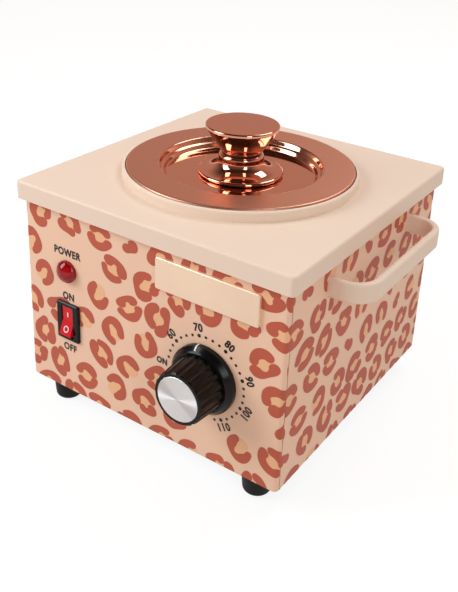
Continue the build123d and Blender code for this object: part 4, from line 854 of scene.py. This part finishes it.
def cut_hole(bm, outline):
    """Takes what lies inside a convex outline out of a flat mesh."""
    low = Vector((min(p.x for p in outline), min(p.y for p in outline)))
    high = Vector((max(p.x for p in outline), max(p.y for p in outline)))
    for start, end in zip(outline, outline[1:] + outline[:1]):
        near = [
            face for face in bm.faces
            if min(v.co.x for v in face.verts) < high.x and max(v.co.x for v in face.verts) > low.x
            and min(v.co.y for v in face.verts) < high.y and max(v.co.y for v in face.verts) > low.y
        ]
        geometry = set(near)
        for face in near:
            geometry.update(face.edges)
            geometry.update(face.verts)
        side = end - start
        bmesh.ops.bisect_plane(bm, geom=list(geometry), plane_co=(*start, 0),
                               plane_no=(side.y, -side.x, 0), dist=1e-7)
    inside = []
    for face in bm.faces:
        at = face.calc_center_median().to_2d()
        turns = [(b - a).cross(at - a) for a, b in zip(outline, outline[1:] + outline[:1])]
        if min(turns) > 0:
            inside.append(face)
    bmesh.ops.delete(bm, geom=inside, context="FACES")


def wrap_print(mesh, line, low_z, high_z, lift, holes):
    """Lays a flat print round the upright sheet whose plan is the line."""
    reach = [0.0]
    for start, end in zip(line, line[1:]):
        reach.append(reach[-1] + (end - start).length)
    total = reach[-1]
    bm = bmesh.new()
    bm.from_mesh(mesh)
    bmesh.ops.translate(bm, verts=bm.verts, vec=(total / 2, (low_z + high_z) / 2, 0))
    edges = (((0, 0, 0), (-1, 0, 0)), ((total, 0, 0), (1, 0, 0)),
             ((0, low_z, 0), (0, -1, 0)), ((0, high_z, 0), (0, 1, 0)))
    for point, outwards in edges:
        geometry = bm.verts[:] + bm.edges[:] + bm.faces[:]
        bmesh.ops.bisect_plane(bm, geom=geometry, plane_co=point, plane_no=outwards,
                               clear_outer=True, dist=1e-7)
    for outline in holes:
        cut_hole(bm, outline)
    for at in reach[1:-1]:
        geometry = bm.verts[:] + bm.edges[:] + bm.faces[:]
        bmesh.ops.bisect_plane(bm, geom=geometry, plane_co=(at, 0, 0), plane_no=(1, 0, 0),
                               dist=1e-7)
    for vert in bm.verts:
        part = 0
        while part < len(line) - 2 and vert.co.x > reach[part + 1]:
            part += 1
        along = (line[part + 1] - line[part]).normalized()
        place = line[part] + along * (vert.co.x - reach[part])
        place += Vector((along.y, -along.x)) * (lift + vert.co.z)
        vert.co = (place.x, place.y, vert.co.y)
    bm.to_mesh(mesh)
    bm.free()
    return mesh


def print_panels():
    """Name, plan line and holes of the two printed sheets; a hole is placed along its line."""
    corner = sizes().corner
    low_x, high_x = -HALF_WIDTH, HALF_WIDTH
    front_seam = SEAM_Y - SEAM_GAP
    front = fillet_path(
        [(low_x, front_seam), (low_x, FRONT_Y), (high_x, FRONT_Y), (high_x, front_seam)],
        [corner, corner], 5,
    )
    around = fillet_path(
        [(high_x, SEAM_Y), (high_x, BACK_Y), (low_x, BACK_Y), (low_x, SEAM_Y)], [corner, corner], 5
    )
    bend = corner * (2 - math.pi / 2)           # what a rounded corner takes off the way round
    front_middle = front_seam - FRONT_Y + HALF_WIDTH - bend
    back_middle = BACK_Y - SEAM_Y + HALF_WIDTH - bend
    front_holes = [
        ring_of_points((front_middle + PILOT.x, PILOT.z), PILOT_OPENING),
        rectangle((front_middle + SWITCH.x, SWITCH.z), *SWITCH_OPENING),
    ]
    back_holes = [rectangle((back_middle - INLET.x, INLET.z), *INLET_OPENING)]
    for k in range(VENTS):
        x = back_middle + (k - (VENTS - 1) / 2) * VENT_PITCH
        back_holes.append(rectangle((x, CASING_HIGH.z - VENT_DROP), *VENT_OPENING))
    return (("front", front, front_holes), ("casing", around, back_holes))


# ---- lettering
LABELS = (("POWER", 120.5), ("ON", 83.8), ("OFF", 39.0))    # height above the wall's foot, in mm
HALF_LETTER = 2.0 * MM
LETTER_SPACE = 1.12
INNER_CIRCLE = 15 * MM         # circle in the dial's own field that the print leaves free
NUMBERS = range(60, 120, 10)
NUMBER_ANGLES = range(-52, 180, 41)         # degrees clockwise from the top
ON_ANGLE = -93
ON_SHARE = 0.8                 # size of the dial's ON to that of its numbers
DOTS = 25
DOT_STEP = 10.25               # degrees; every fourth dot stands beside a number
FIRST_DOT_ANGLE = -82.75
FIRST_LARGE_DOT = 3


def sign_places():
    """Places in the flat drawing of the front where its labels and numbers stand."""
    centre_z = (WALL_LOW.z + WALL_HIGH.z) / 2
    places = []
    for text, height in LABELS:
        half = len(text) * HALF_LETTER
        z = WALL_LOW.z + height * MM - centre_z
        places += [(SWITCH.x - half, z, 0.0), (SWITCH.x, z, 0.0), (SWITCH.x + half, z, 0.0)]
    for circle in (sizes().number_circle, INNER_CIRCLE):
        for degrees in range(ON_ANGLE, 173, 10):
            turn = math.radians(degrees)
            x, z = DIAL.x + circle * math.sin(turn), DIAL.z - centre_z + circle * math.cos(turn)
            places.append((x, z, 0.0))
    return places


def to_front(x, z, lift, turn=0.0):
    """Places a drawing in the XY plane on the front panel, turned clockwise by turn."""
    face = Matrix(((1, 0, 0, x), (0, 0, -1, FRONT_Y - lift), (0, 1, 0, z), (0, 0, 0, 1)))
    return face @ Matrix.Rotation(-turn, 4, "Z")


def word(text, size, place):
    """Mesh of a bold, narrow word centred on its place."""
    curve = bpy.data.curves.new("word", "FONT")
    curve.body = text
    curve.size = size
    curve.align_x = "CENTER"
    curve.align_y = "CENTER"
    curve.offset = sizes().weight
    curve.space_character = LETTER_SPACE
    curve.resolution_u = 6
    holder = bpy.data.objects.new("word", curve)
    bpy.context.scene.collection.objects.link(holder)
    mesh = bpy.data.meshes.new_from_object(
        holder.evaluated_get(bpy.context.evaluated_depsgraph_get())
    )
    bpy.data.objects.remove(holder)
    mesh.transform(place @ Matrix.Diagonal((sizes().narrow, 1, 1, 1)))
    return mesh


def strip(places):
    """Flat mesh of quads between pairs of points."""
    bm = bmesh.new()
    pairs = [[bm.verts.new(place) for place in pair] for pair in places]
    for (left, right), (next_left, next_right) in zip(pairs, pairs[1:]):
        bm.faces.new((left, next_left, next_right, right))
    mesh = bpy.data.meshes.new("strip")
    bm.to_mesh(mesh)
    bm.free()
    return mesh


def laid_on(mesh, node, along, lift):
    """Moves a drawing's points along a direction until they lie on a node."""
    surface = BVHTree.FromObject(frame["nodes"][node], bpy.context.evaluated_depsgraph_get())
    run_up = 0.05
    for vert in mesh.vertices:
        place = surface.ray_cast(vert.co - along * run_up, along)[0]
        if place is None:
            raise RuntimeError(f"a mark misses {node}")
        vert.co = place - along * lift
    mesh.update()
    return mesh


def joined(meshes):
    """One mesh from several."""
    bm = bmesh.new()
    for mesh in meshes:
        bm.from_mesh(mesh)
    result = bpy.data.meshes.new("joined")
    bm.to_mesh(result)
    bm.free()
    return result


# ---- operators
FAR_AWAY = (9.0, 9.0, 0.0)     # metres from the print, so that it keeps nothing clear
SEED_STEP = 40
SMALLEST, LARGEST = 0.90, 0.99
SEAM_OVERLAP = 0.05 * MM


class MELTER_OT_finishes(bpy.types.Operator):
    """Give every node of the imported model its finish"""
    bl_idname = "melter.finishes"
    bl_label = "Finishes"

    def execute(self, context):
        left = set(frame["nodes"])
        for finish, nodes in FINISHES.items():
            for node in nodes:
                mesh = frame["nodes"][node].data
                mesh.materials.clear()
                mesh.materials.append(finish())
                left.discard(node)
        if left:
            raise RuntimeError(f"no finish for {sorted(left)}")
        return {"FINISHED"}


class MELTER_OT_print(bpy.types.Operator):
    """Lay the spotted print on the casing"""
    bl_idname = "melter.print"
    bl_label = "Spotted print"

    def execute(self, context):
        size = sizes()
        strokes, patches = spot_motifs()
        tree = scatter_tree()
        clear = {"front": sign_places(), "casing": [FAR_AWAY]}
        layers = (("middles", patches, 1, print_peach), ("spots", strokes, 2, print_spot))
        for number, (panel, line, holes) in enumerate(print_panels()):
            wide = sum((b - a).length for a, b in zip(line, line[1:]))
            tall = WALL_HIGH.z - WALL_LOW.z
            kept_clear = bpy.data.objects.new("kept_clear", bpy.data.meshes.new("kept_clear"))
            kept_clear.data.from_pydata(clear[panel], [], [])
            for label, collection, level, finish in layers:
                flat = grown(
                    tree, Motifs=collection, Columns=round(wide / size.print_pitch) + 3,
                    Rows=round(tall / size.print_rows) + 3, Pitch=size.print_pitch,
                    Row_Pitch=size.print_rows, Jitter=size.print_jitter,
                    Seed=size.print_seed + SEED_STEP * number, Smallest=SMALLEST, Largest=LARGEST,
                    Kept_Clear=kept_clear, Clear_Radius=size.clear_radius,
                    Height_Change=size.paint_change, Material=finish(),
                )
                mesh = wrap_print(flat, line, WALL_LOW.z, WALL_HIGH.z, level * size.paint, holes)
                show(mesh, f"print_{label}_{panel}", "casing", "printed_sheet", finish())
            bpy.data.objects.remove(kept_clear)
        for collection in (strokes, patches):
            for holder in list(collection.objects):
                bpy.data.objects.remove(holder)
            bpy.data.collections.remove(collection)
        self.seam_lines(size)
        return {"FINISHED"}

    def seam_lines(self, size):
        """Painted shade: dark upright strips where the front panel meets the side walls, standing
        in for the shadow in the joints' gaps.
        """
        seams = []
        for side in (-1, 1):
            x = side * (HALF_WIDTH + 0.5 * size.paint)
            pair = ((x, SEAM_Y + SEAM_OVERLAP), (x, SEAM_Y - size.seam))
            seams.append(strip([
                [Vector((*place, z)) for place in pair[::side]] for z in (WALL_LOW.z, WALL_HIGH.z)
            ]))
        show(joined(seams), "seam_lines", "casing", "printed_sheet", seam_shade())


class MELTER_OT_lid(bpy.types.Operator):
    """Turn the copper lid with its stepped recess, and the foot of its knob"""
    bl_idname = "melter.lid"
    bl_label = "Lid"

    def execute(self, context):
        self.lid(sizes())
        self.dish(sizes())
        return {"FINISHED"}

    def lid(self, size):
        """The lid's sheet: floor, ledge, wall, rim and lip."""
        low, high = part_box("lid")
        centre = middle("lid")
        radius = (high.x - low.x) / 2
        top = high.z
        floor = top - size.recess_depth
        recess = radius - size.rim_width
        ledge = recess - size.ledge_slope
        ledge_z = floor + size.ledge_height
        rounding = size.lid_rounding
        path = fillet_path(
            [(SCREW_HOLE, floor), (ledge - size.ledge_width - size.ledge_slope, floor),
             (ledge - size.ledge_width, ledge_z), (ledge, ledge_z), (recess, top), (radius, top),
             (radius, top - size.lid_lip)],
            [rounding] * 5, 10,
        )
        mesh = lathe(sheet_outline(steadied(path), size.lid_sheet), centre, 256)
        piece = show(mesh, "copper_lid", "lid", "copper", polished_copper(), satin_copper())
        for face in mesh.polygons:
            outside = (face.center - centre).to_2d().length > recess + rounding
            face.material_index = int(outside)
        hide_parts("lid")

    def dish(self, size):
        """Foot of the knob: a thin flange close to the lid that sweeps up into a round neck."""
        low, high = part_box("lid_dish")
        neck_low, neck_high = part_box("lid_spacer")
        floor, top = low.z, high.z
        foot = 20.0 * MM
        half_edge = size.dish_edge / 2
        tip = (high.x - low.x) / 2 - half_edge
        edge_middle = floor + size.dish_lift + half_edge
        neck = (neck_high.x - neck_low.x) / 2 + size.neck_rounding
        sweep_top = top - size.neck_land
        outline = [(SCREW_HOLE, floor), (foot, floor)]
        for step in range(13):
            turn = math.pi * (step / 12 - 0.5)
            height = edge_middle + half_edge * math.sin(turn)
            outline.append((tip + half_edge * math.cos(turn), height))
        edge_top = edge_middle + half_edge
        for step in range(1, 33):
            turn = math.pi / 2 * step / 32
            out = (tip - neck) * (1 - math.sin(turn))
            outline.append((neck + out, edge_top + (sweep_top - edge_top) * (1 - math.cos(turn))))
        for step in range(9):
            turn = math.pi / 2 * step / 8
            outline.append((neck - size.neck_rounding * (1 - math.cos(turn)),
                            top - size.neck_rounding * (1 - math.sin(turn))))
        outline.append((SCREW_HOLE, top))
        mesh = lathe(outline, middle("lid_dish"))
        piece = show(mesh, "copper_dish", "lid", "copper", polished_copper())
        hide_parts("lid_dish")


class MELTER_OT_lettering(bpy.types.Operator):
    """Letter the front: the switch, the lamp and the dial"""
    bl_idname = "melter.lettering"
    bl_label = "Lettering"

    def execute(self, context):
        size = sizes()
        lift = 3 * size.paint
        words = [
            word(text, size.label_size, to_front(SWITCH.x, WALL_LOW.z + height * MM, lift))
            for text, height in LABELS
        ]
        marks = [(str(number), degrees, degrees if number < 100 else degrees - 180, 1.0)
                 for number, degrees in zip(NUMBERS, NUMBER_ANGLES)]
        marks.append(("ON", ON_ANGLE, 0, ON_SHARE))
        for text, at, facing, share in marks:
            turn = math.radians(at)
            x = DIAL.x + size.number_circle * math.sin(turn)
            z = DIAL.z + size.number_circle * math.cos(turn)
            place = to_front(x, z, lift, math.radians(facing))
            words.append(word(text, size.number_size * share, place))
        show(joined(words), "front_lettering", "casing", "black_gloss", letter_black())
        dots = grown(
            dots_tree(), Count=DOTS, First_Angle=math.radians(FIRST_DOT_ANGLE),
            Step=math.radians(DOT_STEP), Radius=size.dot_circle, Small=size.small_dot,
            Large=size.large_dot, First_Large=FIRST_LARGE_DOT, Material=letter_black(),
        )
        dots.transform(to_front(DIAL.x, DIAL.z, lift))
        show(dots, "dial_dots", "casing", "black_gloss", letter_black())
        return {"FINISHED"}


class MELTER_OT_marks(bpy.types.Operator):
    """Mark the knob with its white line and the rocker with its two signs"""
    bl_idname = "melter.marks"
    bl_label = "Knob and rocker marks"

    def execute(self, context):
        lift = 2 * sizes().paint
        line, inward = self.index_line()
        line = laid_on(strip(line), "control_knob", inward, lift)
        show(line, "knob_index", "dial", "black_gloss", letter_white())
        signs = joined([laid_on(strip(part), "switch_rocker", Vector((0, 1, 0)), lift)
                        for part in (self.bar(), self.ring())])
        show(signs, "rocker_signs", "rocker", "red_plastic", letter_white())
        return {"FINISHED"}

    def index_line(self, steps=12):
        """Pairs of points outside the knob's skirt, from its foot outwards, and the way in."""
        start, run, half_width, reach = 1.2, 6.0, 0.6 * MM, 30
        turn = math.radians(-11)
        radial = Vector((math.sin(turn), 0, math.cos(turn)))
        side = Vector((math.cos(turn), 0, -math.sin(turn)))
        places = []
        for step in range(steps + 1):
            y = FRONT_Y - (start + run * step / steps) * MM
            spine = Vector((DIAL.x, y, DIAL.z)) + radial * reach * MM
            places.append((spine + side * half_width, spine - side * half_width))
        return places, -radial

    def bar(self):
        """Upright bar of ON, above the rocker's middle."""
        half_width = 0.55 * MM
        return [(Vector((SWITCH.x - half_width, FRONT_Y, SWITCH.z + z * MM)),
                 Vector((SWITCH.x + half_width, FRONT_Y, SWITCH.z + z * MM)))
                for z in (8.2, 7.2, 6.2, 5.2, 4.2)]

    def ring(self, steps=32):
        """Ring of OFF, below the rocker's middle."""
        inner, outer, drop = 1.7, 2.5, 5.4
        hub = Vector((SWITCH.x, FRONT_Y, SWITCH.z - drop * MM))
        places = []
        for step in range(steps + 1):
            turn = 2 * math.pi * step / steps
            spoke = Vector((math.cos(turn), 0, math.sin(turn)))
            places.append((hub + spoke * inner * MM, hub + spoke * outer * MM))
        return places


def camera_place(azimuth, elevation, roll, distance, target):
    """Matrix of a camera that looks at the target; azimuth 0 looks along +Y."""
    a, e, r = (math.radians(value) for value in (azimuth, elevation, roll))
    back = Vector((math.sin(a) * math.cos(e), -math.cos(a) * math.cos(e), math.sin(e)))
    right = (-back).cross(Vector((0, 0, 1))).normalized()
    up = right.cross(-back)
    across = math.cos(r) * right + math.sin(r) * up
    upright = -math.sin(r) * right + math.cos(r) * up
    turned = Matrix((across, upright, back)).transposed().to_4x4()
    return Matrix.Translation(target + back * distance) @ turned


class MELTER_OT_stage(bpy.types.Operator):
    """Set up the camera, the floor, the lamps and the surroundings"""
    bl_idname = "melter.stage"
    bl_label = "Stage"

    def execute(self, context):
        scene = context.scene
        scene.view_settings.view_transform = "Standard"
        camera = bpy.data.cameras.new("camera")
        holder = bpy.data.objects.new("camera", camera)
        scene.collection.objects.link(holder)
        scene.camera = holder
        picture_height = 592
        focal_pixels = 850.0
        axis_row = 185.0
        camera.sensor_width = 36.0
        camera.lens = focal_pixels / picture_height * camera.sensor_width
        camera.shift_y = (axis_row - picture_height / 2) / picture_height
        camera.clip_start, camera.clip_end = 0.01, 50.0
        target = Vector((-0.0076, 0.00925, 0.1762))
        holder.matrix_world = camera_place(
            azimuth=33.66, elevation=22.40, roll=2.49, distance=0.663, target=target
        )
        self.floor()
        self.lamp("left_lamp", (-0.85, -0.75, 0.80), (0.60, 0.85), 9.6)
        self.lamp("right_lamp", (1.15, -0.75, 0.80), (0.35, 0.8), 4.2)
        self.lamp("back_lamp", (0.2, 1.1, 1.6), (1.0, 0.7), 10.5)
        self.world()
        return {"FINISHED"}

    def floor(self):
        """Pale floor: white to the camera, warmer to what it lights or is mirrored in."""
        bpy.ops.mesh.primitive_plane_add(size=12.0, location=(0, 0, 0))
        floor = bpy.context.object
        floor.name = "floor"
        material, tree, shader = new_material("pale floor", Base_Color=(0.20, 0.20, 0.20, 1),
                                              Roughness=0.7, Specular_IOR_Level=0.1)
        path = tree.nodes.new("ShaderNodeLightPath").outputs
        seen = maths(tree, "MAXIMUM", path["Is Camera Ray"], path["Is Transmission Ray"])
        white = add(tree, "ShaderNodeEmission", Strength=0.84)
        mirrored = add(tree, "ShaderNodeEmission", Color=(1.0, 0.95, 0.91, 1), Strength=0.55)
        fill = add(tree, "ShaderNodeEmission", Color=(1.0, 0.84, 0.74, 1), Strength=0.40)
        other = add(tree, "ShaderNodeMixShader", i0=path["Is Glossy Ray"], i1=fill.outputs[0],
                    i2=mirrored.outputs[0])
        choice = add(tree, "ShaderNodeMixShader", i0=seen, i1=other.outputs[0], i2=white.outputs[0])
        total = add(tree, "ShaderNodeAddShader", i0=shader.outputs[0], i1=choice.outputs[0])
        tree.links.new(total.outputs[0], tree.nodes["Material Output"].inputs["Surface"])
        floor.data.materials.append(material)

    def lamp(self, name, place, size, power):
        """Soft lamp that shines at the part."""
        light = bpy.data.lights.new(name, "AREA")
        light.shape = "RECTANGLE"
        light.size, light.size_y = size
        light.energy = power
        light.color = (0.90, 0.96, 1.0)
        holder = bpy.data.objects.new(name, light)
        bpy.context.scene.collection.objects.link(holder)
        holder.location = place
        part_middle = Vector((0, 0, 0.12))
        holder.rotation_euler = (Vector(place) - part_middle).to_track_quat("Z", "Y").to_euler()

    def world(self):
        """White to the camera, a softer level to matt surfaces, a graded sky to glossy ones."""
        world = bpy.data.worlds.new("studio")
        bpy.context.scene.world = world
        world.use_nodes = True
        tree = world.node_tree
        tree.nodes.clear()
        out = tree.nodes.new("ShaderNodeOutputWorld")
        path = tree.nodes.new("ShaderNodeLightPath").outputs
        direction = tree.nodes.new("ShaderNodeTexCoord").outputs["Generated"]
        parts = add(tree, "ShaderNodeSeparateXYZ", Vector=direction).outputs
        behind = self.ramp(tree, parts["Y"], -0.1, 0.5, 0.14, 0.50)
        upper = self.ramp(tree, parts["Z"], 0.45, 0.75, 1.0, 0.28)
        horizon = self.ramp(tree, parts["Z"], 0.02, 0.16, 0.55, 0.0)
        level_out = maths(tree, "ADD", maths(tree, "MULTIPLY", behind, upper), horizon)
        white = add(tree, "ShaderNodeBackground", Color=(1, 1, 1, 1), Strength=1.0)
        graded = add(tree, "ShaderNodeBackground", Color=(1, 0.60, 0.50, 1), Strength=level_out)
        level = add(tree, "ShaderNodeBackground", Color=(1, 0.87, 0.79, 1), Strength=0.55)
        gloss = add(tree, "ShaderNodeMixShader", i0=path["Is Glossy Ray"], i1=level.outputs[0],
                    i2=graded.outputs[0])
        clear = maths(tree, "MAXIMUM", path["Is Camera Ray"], path["Is Transmission Ray"])
        final = add(tree, "ShaderNodeMixShader", i0=clear, i1=gloss.outputs[0],
                    i2=white.outputs[0])
        tree.links.new(final.outputs[0], out.inputs["Surface"])

    def ramp(self, tree, value, low, high, at_low, at_high):
        """Value that runs from at_low to at_high while another runs from low to high."""
        node = add(tree, "ShaderNodeMapRange", Value=value)
        for label, number in (("From Min", low), ("From Max", high), ("To Min", at_low),
                              ("To Max", at_high)):
            node.inputs[label].default_value = number
        return node.outputs[0]


class MELTER_PT_panel(bpy.types.Panel):
    """Sizes, colours and the steps that dress the model"""
    bl_label = "Wax melter"
    bl_idname = "MELTER_PT_panel"
    bl_space_type = "VIEW_3D"
    bl_region_type = "UI"
    bl_category = "Wax melter"

    def draw(self, context):
        for group in (sizes(), colours()):
            for name in group.__annotations__:
                self.layout.prop(group, name)
        for step in STEPS:
            self.layout.operator(step.bl_idname)


STEPS = (MELTER_OT_stage, MELTER_OT_finishes, MELTER_OT_print, MELTER_OT_lid, MELTER_OT_lettering,
         MELTER_OT_marks)
CLASSES = (MelterSizes, MelterColours, *STEPS, MELTER_PT_panel)


def register():
    for item in CLASSES:
        bpy.utils.register_class(item)
    bpy.types.Scene.melter_sizes = PointerProperty(type=MelterSizes)
    bpy.types.Scene.melter_colours = PointerProperty(type=MelterColours)


def unregister():
    del bpy.types.Scene.melter_colours
    del bpy.types.Scene.melter_sizes
    for item in reversed(CLASSES):
        bpy.utils.unregister_class(item)


def main():
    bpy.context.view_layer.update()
    register()
    for step in STEPS:
        group, name = step.bl_idname.split(".")
        getattr(getattr(bpy.ops, group), name)()


if __name__ == "__main__":
    main()
